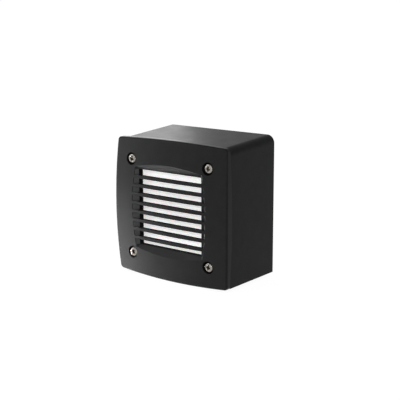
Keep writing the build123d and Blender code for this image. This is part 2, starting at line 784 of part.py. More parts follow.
with BuildPart() as lampholder_body:
    post(0, 0, holder_radius, holder_back_depth, holder_front_depth)
    chamfer(lampholder_body.faces().sort_by(Axis.Y)[0].edges(), 0.8)
    post(0, 0, holder_bore_radius, holder_back_depth, holder_front_depth, Mode.SUBTRACT)
    # Ring channel for the contacts, open at the back, and the two keyhole slots.
    skin_depth = holder_front_depth - holder_skin
    channel = (channel_inner_radius, channel_outer_radius, holder_back_depth, skin_depth)
    arc_strip(0, 180, *channel, Mode.SUBTRACT)
    arc_strip(180, 360, *channel, Mode.SUBTRACT)
    for locked_angle in (0, 180):
        neck = pin_radius + pin_clearance
        free_angle = locked_angle + pin_turn
        arc_strip(
            locked_angle,
            free_angle,
            pin_circle_radius - neck,
            pin_circle_radius + neck,
            skin_depth,
            holder_front_depth,
            Mode.SUBTRACT,
        )
        for angle, radius in ((locked_angle, neck), (free_angle, pin_head_radius + pin_clearance)):
            x = pin_circle_radius * math.cos(math.radians(angle))
            z = pin_circle_radius * math.sin(math.radians(angle))
            post(x, z, radius, skin_depth, holder_front_depth, Mode.SUBTRACT)
    for x, z in holder_screw_places:
        clear = holder_screw_radius + seat_gap
        post(x, z, clear, holder_back_depth, holder_front_depth, Mode.SUBTRACT)
        seat = holder_front_depth - holder_screw_head_height - rest_gap
        post(x, z, holder_screw_recess, seat, holder_front_depth, Mode.SUBTRACT)
    for route in (lead_live_route, lead_neutral_route):
        (x0, z0, d0), (x1, z1, d1) = route[-1], route[-2]
        inward = Vector(x0, -d0, z0)
        outward = Vector(x1 - x0, -(d1 - d0), z1 - z0).normalized()
        with BuildSketch(Plane(origin=inward, z_dir=outward)) as lead_hole:
            Circle(lead_radius + 2 * rest_gap)
        extrude(lead_hole.sketch, amount=holder_radius / 2, mode=Mode.SUBTRACT)

with BuildPart() as lampholder_contacts:
    inner = pin_circle_radius - contact_half_width
    outer = pin_circle_radius + contact_half_width
    for start_angle, end_angle in ((-34, 8), (-172, -43)):
        arc_strip(start_angle, end_angle, inner, outer, contact_depth - contact_thickness, contact_depth)
        # Feet that stand on the mounting plate's insulating strip.
        for angle in (start_angle + 3, end_angle - 3):
            x = (inner + 1) * math.cos(math.radians(angle))
            z = (inner + 1) * math.sin(math.radians(angle))
            post(x, z, 0.6, holder_back_depth + rest_gap, contact_depth - contact_thickness)

with BuildPart() as lampholder_screws:
    for x, z in holder_screw_places:
        seat = holder_front_depth - holder_screw_head_height - rest_gap
        post(x, z, holder_screw_head_radius, seat, seat + holder_screw_head_height)
        post(x, z, holder_screw_radius, seat - holder_screw_length + 1, seat)
        top = seat + holder_screw_head_height
        span = holder_screw_recess_span
        cross_recess(x, z, 20, span, holder_screw_recess_slot, top, holder_screw_recess_depth)

# ---------------------------------------------------------------- lamp

with BuildPart() as lamp_body:
    boss_back = lamp_back_depth - lamp_boss_height
    board_seat = board_back_depth
    inner = lamp_radius - lamp_wall
    turned(
        0,
        0,
        [
            (0, boss_back),
            (lamp_boss_radius - 1, boss_back),
            (lamp_boss_radius, boss_back + 1),
            (lamp_boss_radius, lamp_back_depth),
            (lamp_radius - lamp_edge_round, lamp_back_depth),
            (lamp_radius, lamp_back_depth + lamp_edge_round),
            (lamp_radius, lamp_rim_depth - 1),
            (lamp_radius - 1, lamp_rim_depth),
            (lamp_lens_radius + rest_gap, lamp_rim_depth),
            (lamp_lens_radius + rest_gap, lamp_rim_depth - lamp_lens_thickness),
            (lamp_lens_radius - 1, lamp_rim_depth - lamp_lens_thickness),
            (board_radius + rest_gap, lamp_rim_depth - lamp_lens_thickness - 1),
            (board_radius + rest_gap, board_seat),
            (board_radius - board_ledge, board_seat),
            (board_radius - board_ledge, lamp_back_depth + lamp_wall),
            (lamp_boss_radius - lamp_wall, lamp_back_depth + lamp_wall),
            (lamp_boss_radius - lamp_wall, driver_board_depth),
            (driver_board_radius - driver_ledge, driver_board_depth),
            (driver_board_radius - driver_ledge, boss_back + lamp_wall),
            (0, boss_back + lamp_wall),
        ],
    )
    for side in (-1, 1):
        start = lamp_back_depth
        post(side * pin_circle_radius, 0, pin_radius + seat_gap, start, start + lamp_wall, Mode.SUBTRACT)

with BuildPart() as lamp_pins:
    for side in (-1, 1):
        x = side * pin_circle_radius
        post(x, 0, pin_head_radius, pin_tip_depth, pin_head_depth)
        post(x, 0, pin_radius, pin_head_depth, lamp_back_depth + lamp_wall)
        post(x, 0, pin_head_radius, lamp_back_depth + lamp_wall, lamp_back_depth + lamp_wall + 0.8)

with BuildPart() as lamp_lens:
    crown_depth_of_lens = lamp_rim_depth + lamp_lens_crown
    lens_dome_radius = (lamp_lens_radius**2 + lamp_lens_crown**2) / (2 * lamp_lens_crown)
    post(0, 0, lamp_lens_radius, lamp_rim_depth - lamp_lens_thickness, crown_depth_of_lens + 1)
    with Locations((0, lens_dome_radius - crown_depth_of_lens, 0)):
        Sphere(lens_dome_radius, mode=Mode.INTERSECT)

with BuildPart() as led_board:
    post(0, 0, board_radius, board_back_depth, board_front_depth)

with BuildPart() as led_chips:
    for ring, count in enumerate(chip_counts):
        with BuildSketch(front(board_front_depth)) as chips:
            with PolarLocations(chip_ring_start + ring * chip_ring_pitch, count):
                Rectangle(chip_size, chip_size)
        extrude(chips.sketch, amount=chip_height)

with BuildPart() as driver_board:
    post(0, 0, driver_board_radius, driver_board_depth, driver_board_depth + board_thickness)

with BuildPart() as driver_components:
    top = driver_board_depth + board_thickness
    post(-component_offset, component_offset, capacitor_radius, top, top + capacitor_height)
    post(component_offset, component_offset, coil_radius, top, top + coil_height)
    chip_spot = (component_offset, -component_offset)
    block(driver_chip_half, driver_chip_half, 0.4, top, top + driver_chip_height, chip_spot)
    resistor_spot = (-component_offset, -component_offset)
    block(resistor_half, resistor_half, 0.3, top, top + resistor_height, resistor_spot)

# ---------------------------------------------------------------- terminal block

with BuildPart() as terminal_block:
    centre = (block_x, block_z)
    block(block_length / 2, block_half_z, 1.0, block_back_depth, block_front_depth, centre)
    chamfer(terminal_block.faces().sort_by(Axis.Y)[0].edges(), 0.5)
    for z in pole_places:
        barrel_plane = Plane(origin=(block_x, -barrel_axis_depth, z), x_dir=(0, 0, 1), z_dir=(1, 0, 0))
        with BuildSketch(barrel_plane) as bore:
            Circle(barrel_radius + seat_gap)
        extrude(bore.sketch, amount=block_length, both=True, mode=Mode.SUBTRACT)
        for side in (-1, 1):
            x = block_x + side * clamp_screw_offset
            post(x, z, clamp_access_radius, barrel_axis_depth, block_front_depth, Mode.SUBTRACT)
    clear = fixing_screw_radius + seat_gap
    post(block_x, block_z, clear, block_back_depth, block_front_depth, Mode.SUBTRACT)
    head_seat = block_back_depth + barrel_depth + barrel_radius + 1
    post(block_x, block_z, fixing_head_radius + rest_gap, head_seat, block_front_depth, Mode.SUBTRACT)

with BuildPart() as terminal_clamps:
    for z in pole_places:
        barrel_plane = Plane(origin=(block_x, -barrel_axis_depth, z), x_dir=(0, 0, 1), z_dir=(1, 0, 0))
        with BuildSketch(barrel_plane) as barrel:
            Circle(barrel_radius)
        extrude(barrel.sketch, amount=barrel_length / 2, both=True)
        with BuildSketch(barrel_plane) as wire_bore:
            Circle(wire_hole_radius)
        extrude(wire_bore.sketch, amount=barrel_length / 2, both=True, mode=Mode.SUBTRACT)
        for side in (-1, 1):
            x = block_x + side * clamp_screw_offset
            clear = clamp_screw_radius + seat_gap
            post(x, z, clear, barrel_axis_depth, barrel_axis_depth + 2 * barrel_radius, Mode.SUBTRACT)

with BuildPart() as terminal_screws:
    for z in pole_places:
        for side in (-1, 1):
            x = block_x + side * clamp_screw_offset
            start = barrel_axis_depth + lead_radius + rest_gap
            post(x, z, clamp_screw_radius, start, start + clamp_screw_length)
            with BuildSketch(front(start + clamp_screw_length)) as slot:
                with Locations((x, z)):
                    Rectangle(0.5, 2 * clamp_screw_radius)
            extrude(slot.sketch, amount=-0.8, mode=Mode.SUBTRACT)

with BuildPart() as terminal_fixing_screw:
    post(block_x, block_z, fixing_head_radius, head_seat, head_seat + fixing_head_height)
    post(block_x, block_z, fixing_screw_radius, head_seat - fixing_screw_length, head_seat)
    top = head_seat + fixing_head_height
    cross_recess(block_x, block_z, 40, fixing_recess_span, fixing_recess_slot, top, fixing_recess_depth)

# ---------------------------------------------------------------- export

housing.part.label = "housing"
front_cover.part.label = "front_cover"
cover_gasket.part.label = "cover_gasket"
diffuser.part.label = "diffuser"
diffuser_gasket.part.label = "diffuser_gasket"
diffuser_frame.part.label = "diffuser_frame"
diffuser_frame_screws.part.label = "diffuser_frame_screws"
screw_retainers.part.label = "screw_retainers"
threaded_inserts.part.label = "threaded_inserts"
wall_screw_seals.part.label = "wall_screw_seals"
cable_grommet.part.label = "cable_grommet"
mounting_plate.part.label = "mounting_plate"
plate_screws.part.label = "plate_screws"
lampholder_body.part.label = "lampholder_body"
lampholder_contacts.part.label = "lampholder_contacts"
lampholder_screws.part.label = "lampholder_screws"
lamp_body.part.label = "lamp_body"
lamp_pins.part.label = "lamp_pins"
lamp_lens.part.label = "lamp_lens"
led_board.part.label = "led_board"
led_chips.part.label = "led_chips"
driver_board.part.label = "driver_board"
driver_components.part.label = "driver_components"
terminal_block.part.label = "terminal_block"
terminal_clamps.part.label = "terminal_clamps"
terminal_screws.part.label = "terminal_screws"
terminal_fixing_screw.part.label = "terminal_fixing_screw"
lead_live.part.label = "lead_live"
lead_neutral.part.label = "lead_neutral"

finished = [
    housing.part,
    front_cover.part,
    cover_gasket.part,
    diffuser.part,
    diffuser_gasket.part,
    diffuser_frame.part,
    diffuser_frame_screws.part,
    screw_retainers.part,
    threaded_inserts.part,
    wall_screw_seals.part,
    cable_grommet.part,
    mounting_plate.part,
    plate_screws.part,
    lampholder_body.part,
    lampholder_contacts.part,
    lampholder_screws.part,
    lamp_body.part,
    lamp_pins.part,
    lamp_lens.part,
    led_board.part,
    led_chips.part,
    driver_board.part,
    driver_components.part,
    terminal_block.part,
    terminal_clamps.part,
    terminal_screws.part,
    terminal_fixing_screw.part,
    lead_live.part,
    lead_neutral.part,
    *cover_screws,
    *screw_seals,
]

os.makedirs("parts", exist_ok=True)
for piece in finished:
    export_step(piece, f"parts/{piece.label}.step")
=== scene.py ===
"""Look of a surface-mounted outdoor step light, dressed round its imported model.

Everything is in metres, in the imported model's own frame: X runs to the right seen from
the front, Y runs back into the wall and Z runs up. A depth is a distance from the wall
plane towards the viewer, so a point at depth d has y = -d.
"""

from __future__ import annotations

import logging
import math
from dataclasses import dataclass, field
from enum import Enum
from typing import Callable, Sequence

import bmesh
import bpy
from mathutils import Matrix, Vector

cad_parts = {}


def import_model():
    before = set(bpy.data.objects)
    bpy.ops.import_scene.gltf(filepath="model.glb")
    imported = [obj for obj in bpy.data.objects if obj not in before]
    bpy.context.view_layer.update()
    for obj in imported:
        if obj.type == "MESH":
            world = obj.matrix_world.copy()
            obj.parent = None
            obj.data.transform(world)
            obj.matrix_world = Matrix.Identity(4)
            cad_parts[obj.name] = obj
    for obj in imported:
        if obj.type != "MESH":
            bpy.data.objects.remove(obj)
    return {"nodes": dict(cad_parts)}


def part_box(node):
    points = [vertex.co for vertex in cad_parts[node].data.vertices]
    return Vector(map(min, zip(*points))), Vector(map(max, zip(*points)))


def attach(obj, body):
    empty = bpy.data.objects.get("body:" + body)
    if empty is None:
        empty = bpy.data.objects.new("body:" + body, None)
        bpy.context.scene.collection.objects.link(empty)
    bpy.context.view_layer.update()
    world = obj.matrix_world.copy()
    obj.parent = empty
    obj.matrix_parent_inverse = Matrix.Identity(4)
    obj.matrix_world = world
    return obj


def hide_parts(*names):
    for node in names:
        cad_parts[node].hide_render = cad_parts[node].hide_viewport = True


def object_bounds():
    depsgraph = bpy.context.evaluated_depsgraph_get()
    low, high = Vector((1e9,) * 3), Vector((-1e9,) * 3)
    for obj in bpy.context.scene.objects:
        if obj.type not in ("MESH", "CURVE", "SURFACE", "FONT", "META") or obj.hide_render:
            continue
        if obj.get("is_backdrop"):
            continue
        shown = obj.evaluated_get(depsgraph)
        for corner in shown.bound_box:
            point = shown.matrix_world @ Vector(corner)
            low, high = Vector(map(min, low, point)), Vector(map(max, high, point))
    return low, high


LOG = logging.getLogger("step_light")

Colour = tuple[float, float, float]
Point = tuple[float, float, float]
Outline = Sequence[tuple[float, float]]
Socket = bpy.types.NodeSocket

MM = 0.001
WHITE: Colour = (1.0, 1.0, 1.0)
EVEN: Point = (1.0, 1.0, 1.0)
SCREW_NUMBERS = range(1, 5)

NOISE_RANGE = (0.3, 0.7)  # where cloudy noise mostly lies
EDGE_RANGE = (0.985, 0.86)  # agreement of the normals on a flat and on an edge
OPEN_RANGE = (0.45, 0.88)  # ambient openness deep in a gap and on a free surface
EDGE_SAMPLES = 6
OPEN_SAMPLES = 8
SHARP_ANGLE = 30.0  # degrees between faces above which an edge is rounded


class Slot(Enum):
    """The record's material slots, one finish for each."""

    BLACK_COVER = "black_cover"
    BLACK_HOUSING = "black_housing"
    BLACK_INNER = "black_inner"
    BLACK_RUBBER = "black_rubber"
    SILICONE = "silicone"
    OPAL = "opal"
    FROSTED = "frosted"
    STAINLESS = "stainless"
    ZINC_STEEL = "zinc_steel"
    BRASS_PARTS = "brass_parts"
    NICKEL_PINS = "nickel_pins"
    NYLON = "nylon"
    WHITE_STEEL = "white_steel"
    HOLDER_WHITE = "holder_white"
    LAMP_WHITE = "lamp_white"
    BOARD_WHITE = "board_white"
    LED_YELLOW = "led_yellow"
    BOARD_GREEN = "board_green"
    COMPONENTS = "components"
    LEAD_BROWN = "lead_brown"
    LEAD_BLUE = "lead_blue"


class Ray(Enum):
    """Kinds of ray that the white surroundings tell apart."""

    CAMERA = "Is Camera Ray"
    GLOSSY = "Is Glossy Ray"
    TRANSMISSION = "Is Transmission Ray"


# ---- nodes of a material


def feed(node: bpy.types.Node, **inputs: object) -> None:
    """Set or link a node's inputs, named with underscores for spaces or by their number.

    Args:
        node: The node to feed.
        **inputs: A socket to link, or a value to set, for each input. A name such as
            slot_1 stands for the input's number.
    """
    for key, value in inputs.items():
        number = key.removeprefix("slot_")
        name = int(number) if number.isdigit() else key.replace("_", " ")
        socket = node.inputs[name]
        if isinstance(value, bpy.types.NodeSocket):
            node.id_data.links.new(value, socket)
        else:
            socket.default_value = value


class NodeSheet:
    """Lays out the nodes of one material round its principled shader."""

    def __init__(self, name: str) -> None:
        """Start a material with a shader, an output and object coordinates.

        Args:
            name: The material's name.
        """
        self.material = bpy.data.materials.new(name)
        self.material.use_nodes = True
        self.tree = self.material.node_tree
        self.shader = self.tree.nodes["Principled BSDF"]
        self.place = self.add("ShaderNodeTexCoord").outputs["Object"]

    def add(self, kind: str, **settings: object) -> bpy.types.Node:
        """Add a node and set its properties.

        Args:
            kind: Blender's name of the node type.
            **settings: Properties of the node and their values.

        Returns:
            The new node.
        """
        node = self.tree.nodes.new(kind)
        for key, value in settings.items():
            setattr(node, key, value)
        return node

    def dress(self, **inputs: object) -> None:
        """Set or link inputs of the shader, named with underscores for spaces."""
        feed(self.shader, **inputs)

    def laid(self, name: str) -> Socket:
        """What is linked to an input of the shader so far."""
        return self.shader.inputs[name].links[0].from_socket

    def stretched(self, stretch: Point) -> Socket:
        """Object coordinates scaled along each axis.

        Args:
            stretch: Scale along X, Y and Z.

        Returns:
            The scaled coordinates.
        """
        if stretch == EVEN:
            return self.place
        scale = self.add("ShaderNodeVectorMath", operation="MULTIPLY")
        feed(scale, slot_0=self.place, slot_1=stretch)
        return scale.outputs[0]

    def noise(self, size: float, detail: float = 2.0, stretch: Point = EVEN) -> Socket:
        """Cloudy noise.

        Args:
            size: Size of its largest features, in metres.
            detail: How many finer layers lie on it.
            stretch: Scale along each axis; below 1 draws the features out.

        Returns:
            The noise, from 0 to 1.
        """
        node = self.add("ShaderNodeTexNoise")
        feed(node, Vector=self.stretched(stretch), Scale=1 / size, Detail=detail)
        return node.outputs[0]

    def cells(self, size: float) -> Socket:
        """Distance to the middle of the nearest cell of a pattern.

        Args:
            size: Size of a cell, in metres.

        Returns:
            The distance, from 0 upwards.
        """
        node = self.add("ShaderNodeTexVoronoi", feature="F1")
        feed(node, Vector=self.place, Scale=1 / size)
        return node.outputs["Distance"]

    def span(
        self, value: Socket, low: float, high: float, start: float = 0.0, end: float = 1.0
    ) -> Socket:
        """Map a range of a value onto another, held at its ends.

        Args:
            value: The value to map.
            low: Value that maps to start.
            high: Value that maps to end.
            start: Result at low.
            end: Result at high.

        Returns:
            The mapped value.
        """
        node = self.add("ShaderNodeMapRange", clamp=True)
        feed(node, Value=value, From_Min=low, From_Max=high, To_Min=start, To_Max=end)
        return node.outputs[0]

    def maths(self, operation: str, first: Socket, second: Socket | float = 0.0) -> Socket:
        """Combine two values.

        Args:
            operation: Blender's name of the operation.
            first: First value.
            second: Second value, for an operation that has two.

        Returns:
            The result.
        """
        node = self.add("ShaderNodeMath", operation=operation)
        feed(node, slot_0=first, slot_1=second)
        return node.outputs[0]

    def blend(self, share: Socket, first: Colour | Socket, second: Colour | Socket) -> Socket:
        """Mix two colours.

        Args:
            share: How much of the second colour shows.
            first: Colour at 0.
            second: Colour at 1.

        Returns:
            The mixed colour.
        """
        node = self.add("ShaderNodeMix", data_type="RGBA")
        ends = [(*end, 1.0) if isinstance(end, tuple) else end for end in (first, second)]
        feed(node, slot_0=share, slot_6=ends[0], slot_7=ends[1])
        return node.outputs[2]

    def edges(self, radius: float) -> Socket:
        """Mask of the edges: 0 on flats and 1 where the surface turns.

        Args:
            radius: How far the mask reaches from an edge, in metres.

        Returns:
            The mask.
        """
        rounded = self.add("ShaderNodeBevel", samples=EDGE_SAMPLES)
        feed(rounded, Radius=radius)
        flat = self.add("ShaderNodeNewGeometry")
        turn = self.add("ShaderNodeVectorMath", operation="DOT_PRODUCT")
        feed(turn, slot_0=rounded.outputs[0], slot_1=flat.outputs["Normal"])
        return self.span(turn.outputs["Value"], *EDGE_RANGE)

    def openness(self, reach: float) -> Socket:
        """How open a spot is: 0 deep in a gap and 1 on a free surface.

        Args:
            reach: How near other surfaces must be to count, in metres.

        Returns:
            The share.
        """
        shade = self.add("ShaderNodeAmbientOcclusion", samples=OPEN_SAMPLES)
        feed(shade, Distance=reach)
        return self.span(shade.outputs["AO"], *OPEN_RANGE)

    def relief(self, height: Socket, depth: float) -> Socket:
        """Bump of a height between 0 and 1.

        Args:
            height: The height.
            depth: What 1 stands for, in metres.

        Returns:
            The bent normal.
        """
        node = self.add("ShaderNodeBump")
        feed(node, Height=height, Distance=depth, Strength=1.0)
        return node.outputs[0]


def tinted(colour: Colour, factor: float) -> Colour:
    """A colour made lighter or darker by a factor."""
    return tuple(min(1.0, channel * factor) for channel in colour)


# ---- finishes


@dataclass(frozen=True)
class Finish:
    """What every finish has: a slot, a colour, a gloss and how much they vary."""

    slot: Slot
    colour: Colour
    roughness: float = 0.5
    gloss_swing: tuple[float, float] = (0.05, 0.08)  # of the roughness, down and up
    mottle: float = 0.12  # share by which the colour varies
    mottle_size: float = 9 * MM

    def varied(self, sheet: NodeSheet) -> Socket:
        """The colour with slow, cloudy variation.

        Args:
            sheet: The material's nodes.

        Returns:
            The colour.
        """
        cloud = sheet.span(sheet.noise(self.mottle_size, detail=3.0), *NOISE_RANGE)
        pale, deep = tinted(self.colour, 1 + self.mottle), tinted(self.colour, 1 - self.mottle)
        return sheet.blend(cloud, deep, pale)

    def gloss(self, sheet: NodeSheet, pattern: Socket) -> Socket:
        """The roughness as it swings with a noise pattern.

        Args:
            sheet: The material's nodes.
            pattern: The noise.

        Returns:
            The roughness.
        """
        down, up = self.gloss_swing
        return sheet.span(pattern, *NOISE_RANGE, self.roughness - down, self.roughness + up)

    def build(self) -> bpy.types.Material:
        """Make the material.

        Returns:
            The material.
        """
        sheet = NodeSheet(self.slot.value)
        self.lay(sheet)
        return sheet.material

    def lay(self, sheet: NodeSheet) -> None:
        """Lay out the finish on a sheet of nodes."""
        raise NotImplementedError


@dataclass(frozen=True)
class MouldedPlastic(Finish):
    """Injection-moulded plastic with a spark-eroded grain; its edges are lightened as wear and,
    with a factor below 1, darkened as painted shade.
    """

    gloss_swing: tuple[float, float] = (0.02, 0.02)
    specular: float = 0.5
    grain_size: float = 0.35 * MM
    grain_depth: float = 0.006 * MM
    grain_rim: float = 0.8  # how far a pit's slope reaches, of the grain's size
    wear_and_shade: float = 1.35  # how much lighter worn edges are; below 1 it darkens them as painted edge shade
    wear_and_shade_reach: float = 0.35 * MM
    handled_size: float = 14 * MM  # of the patches that hands have polished
    glow_through: float = 0.0  # share of the light that soaks into it
    glow_depth: float = 1.5 * MM
    shade: float = 0.1  # how dark the painted shade in gaps is against the colour
    shade_reach: float = 0.0  # how near surfaces must be for painted shade to darken the gap between them

    def surface(self, sheet: NodeSheet) -> Socket:
        """The colour with its clouds, its edges tinted as wear and as painted edge shade, and
        painted shade in gaps.

        Args:
            sheet: The material's nodes.

        Returns:
            The colour.
        """
        # edges tinted by the factor: lighter as wear, darker below 1 as painted edge shade
        edge = sheet.edges(self.wear_and_shade_reach)
        colour = sheet.blend(edge, self.varied(sheet), tinted(self.colour, self.wear_and_shade))
        # painted shade where other surfaces are near
        if self.shade_reach:
            shade = tinted(self.colour, self.shade)
            colour = sheet.blend(sheet.openness(self.shade_reach), shade, colour)
        return colour

    def lay(self, sheet: NodeSheet) -> None:
        """Lay out grain, clouds, handled patches and edges.

        Args:
            sheet: The material's nodes.
        """
        pits = sheet.span(sheet.cells(self.grain_size), 0.0, self.grain_rim)
        sheet.dress(
            Base_Color=self.surface(sheet),
            Roughness=self.gloss(sheet, sheet.noise(self.handled_size)),
            Specular_IOR_Level=self.specular,
            Normal=sheet.relief(pits, self.grain_depth),
            Subsurface_Weight=self.glow_through,
            Subsurface_Scale=self.glow_depth,
        )


@dataclass(frozen=True)
class LouvredPlastic(MouldedPlastic):
    """Plastic of the front cover, rougher inside its louvre and painted near black there as shade,
    with painted light on the louvre's left notches.
    """

    half_width: float = 31.05 * MM  # of the louvre's window
    half_height: float = 30.45 * MM
    border_run: float = 8.0 * MM  # how far the sloped border reaches past the window's ends
    skin_radius: float = 542.4 * MM  # just below the cover's domed skin
    dome_centre: Point = (0.0, 475.9 * MM, 0.0)
    # painted shade: near black inside the louvre, where it lies in shade
    louvre_shade: Colour = (0.0012, 0.0012, 0.0013)
    matt_roughness: float = 0.9
    edge_roughness: float = 0.95
    # painted light: the left notches are lighter, as where light from the left falls on them
    dust_and_painted_light: Colour = (0.060, 0.060, 0.062)

    def below(self, sheet: NodeSheet, left: float, right: float) -> Socket:
        """Mask of what lies below the skin, within the louvre's height and between two sides.

        Args:
            sheet: The material's nodes.
            left: Where it begins, along X.
            right: Where it ends.

        Returns:
            1 there and 0 elsewhere.
        """
        parts = sheet.add("ShaderNodeSeparateXYZ")
        feed(parts, Vector=sheet.place)
        off_middle = sheet.maths("SUBTRACT", parts.outputs["X"], (left + right) / 2)
        off_middle = sheet.maths("ABSOLUTE", off_middle)
        within_x = sheet.maths("LESS_THAN", off_middle, (right - left) / 2)
        off_level = sheet.maths("ABSOLUTE", parts.outputs["Z"])
        within_z = sheet.maths("LESS_THAN", off_level, self.half_height)
        reach = sheet.add("ShaderNodeVectorMath", operation="DISTANCE")
        feed(reach, slot_0=sheet.place, slot_1=self.dome_centre)
        below = sheet.maths("LESS_THAN", reach.outputs["Value"], self.skin_radius)
        return sheet.maths("MULTIPLY", sheet.maths("MULTIPLY", within_x, within_z), below)

    def lay(self, sheet: NodeSheet) -> None:
        """Lay out the plastic, then painted light on the left notches and painted shade inside the
        louvre, with the inside and the right notches rougher.

        Args:
            sheet: The material's nodes.
        """
        super().lay(sheet)
        side, run = self.half_width, self.border_run
        left_notches = self.below(sheet, -side - run, -side)
        right_notches = self.below(sheet, side, side + run)
        inside = self.below(sheet, -side, side)
        # painted light on the left notches
        colour = sheet.blend(left_notches, sheet.laid("Base Color"), self.dust_and_painted_light)
        dull = sheet.maths("MAXIMUM", inside, right_notches)
        dull = sheet.maths("MULTIPLY", dull, self.matt_roughness)
        worn = sheet.maths("MULTIPLY", sheet.edges(self.wear_and_shade_reach), self.edge_roughness)
        rough = sheet.maths("MAXIMUM", sheet.laid("Roughness"), dull)
        sheet.dress(
            # painted shade, near black, inside the louvre
            Base_Color=sheet.blend(inside, colour, self.louvre_shade),
            Roughness=sheet.maths("MAXIMUM", rough, worn),
        )


@dataclass(frozen=True)
class Elastomer(Finish):
    """Rubber or silicone: dull, faintly dusty, with a soft surface ripple."""

    gloss_swing: tuple[float, float] = (0.07, 0.07)
    ripple_size: float = 1.6 * MM
    ripple_depth: float = 0.03 * MM
    dust_size: float = 0.5 * MM
    dust_range: tuple[float, float] = (0.58, 0.75)  # noise where dust begins and is full
    dust_share: float = 0.35  # how much of a dusty spot's tint shows
    dust_tint: float = 1.6
    sheen: float = 0.15
    sheen_roughness: float = 0.5
    glow_through: float = 0.0  # share of the light that soaks into it
    glow_depth: float = 1.0 * MM

    def lay(self, sheet: NodeSheet) -> None:
        """Lay out dust, ripple and bloom.

        Args:
            sheet: The material's nodes.
        """
        specks = sheet.noise(self.dust_size, detail=4.0)
        dust_and_painted_light = sheet.span(specks, *self.dust_range, 0.0, self.dust_share)
        ripple = sheet.noise(self.ripple_size, detail=3.0)
        sheet.dress(
            Base_Color=sheet.blend(dust_and_painted_light, self.varied(sheet), tinted(self.colour, self.dust_tint)),
            Roughness=self.gloss(sheet, ripple),
            Normal=sheet.relief(ripple, self.ripple_depth),
            Sheen_Weight=self.sheen,
            Sheen_Roughness=self.sheen_roughness,
            Subsurface_Weight=self.glow_through,
            Subsurface_Scale=self.glow_depth,
        )


@dataclass(frozen=True)
class WorkedMetal(Finish):
    """Bare or plated metal with fine drawn lines and small scuffs."""

    gloss_swing: tuple[float, float] = (0.05, 0.07)
    line_size: float = 0.12 * MM
    line_depth: float = 0.004 * MM
    stretch: Point = (0.06, 1.0, 1.0)  # draws the lines out along X
    scuff: float = 0.10  # how much rougher a scuff is
    scuff_size: float = 0.9 * MM
    scuff_range: tuple[float, float] = (0.5, 0.72)  # noise where a scuff begins and is full
    grime_and_shade_reach: float = 0.0  # how near surfaces must be for grime and painted shade to darken the hollow between them
    # grime with painted shade, dark in hollows such as the screws' cross recesses
    grime_and_shade: Colour = (0.020, 0.015, 0.009)
    passivated: Colour | None = None  # second hue that drifts over a plated surface
    drift_size: float = 2.5 * MM
    drift_range: tuple[float, float] = (0.42, 0.62)

    def lay(self, sheet: NodeSheet) -> None:
        """Lay out drawn lines, scuffs, grime with painted shade, and the drift of the plating.

        Args:
            sheet: The material's nodes.
        """
        colour = self.varied(sheet)
        if self.passivated is not None:
            drift = sheet.span(sheet.noise(self.drift_size), *self.drift_range)
            colour = sheet.blend(drift, colour, self.passivated)
        # grime and painted shade in hollows
        if self.grime_and_shade_reach:
            colour = sheet.blend(sheet.openness(self.grime_and_shade_reach), self.grime_and_shade, colour)
        lines = sheet.noise(self.line_size, detail=1.0, stretch=self.stretch)
        scratches = sheet.noise(self.scuff_size, detail=5.0)
        scuffs = sheet.span(scratches, *self.scuff_range, 0.0, self.scuff)
        sheet.dress(
            Base_Color=colour,
            Metallic=1.0,
            Roughness=sheet.maths("ADD", self.gloss(sheet, lines), scuffs),
            Normal=sheet.relief(lines, self.line_depth),
        )


@dataclass(frozen=True)
class PaintedSteel(Finish):
    """Stoved enamel on sheet steel, with the slight ripple of sprayed paint."""

    gloss_swing: tuple[float, float] = (0.04, 0.06)
    peel_size: float = 1.1 * MM
    peel_depth: float = 0.012 * MM
    edge_reach: float = 0.25 * MM  # how far the paint is thin from an edge
    edge_tint: float = 0.72
    coat: float = 0.25
    coat_roughness: float = 0.22

    def lay(self, sheet: NodeSheet) -> None:
        """Lay out the ripple and the edges where the paint is thin.

        Args:
            sheet: The material's nodes.
        """
        peel = sheet.noise(self.peel_size, detail=1.5)
        thin = tinted(self.colour, self.edge_tint)
        sheet.dress(
            Base_Color=sheet.blend(sheet.edges(self.edge_reach), self.varied(sheet), thin),
            Roughness=self.gloss(sheet, peel),
            Normal=sheet.relief(peel, self.peel_depth),
            Coat_Weight=self.coat,
            Coat_Roughness=self.coat_roughness,
        )


@dataclass(frozen=True)
class OpalPlastic(Finish):
    """Milky plastic with a lit lamp behind it."""

    glow: Colour = WHITE
    glow_strength: float = 0.3
    frost_size: float = 0.25 * MM
    frost_depth: float = 0.006 * MM
    milk: float = 0.35
    milk_depth: float = 2.0 * MM

    def lay(self, sheet: NodeSheet) -> None:
        """Lay out the frosted skin, the milk and the light of the lamp behind it.

        Args:
            sheet: The material's nodes.
        """
        frost = sheet.noise(self.frost_size, detail=3.0)
        sheet.dress(
            Base_Color=self.varied(sheet),
            Roughness=self.gloss(sheet, frost),
            Normal=sheet.relief(frost, self.frost_depth),
            Subsurface_Weight=self.milk,
            Subsurface_Scale=self.milk_depth,
            Emission_Color=(*self.glow, 1.0),
            Emission_Strength=self.glow_strength,
        )


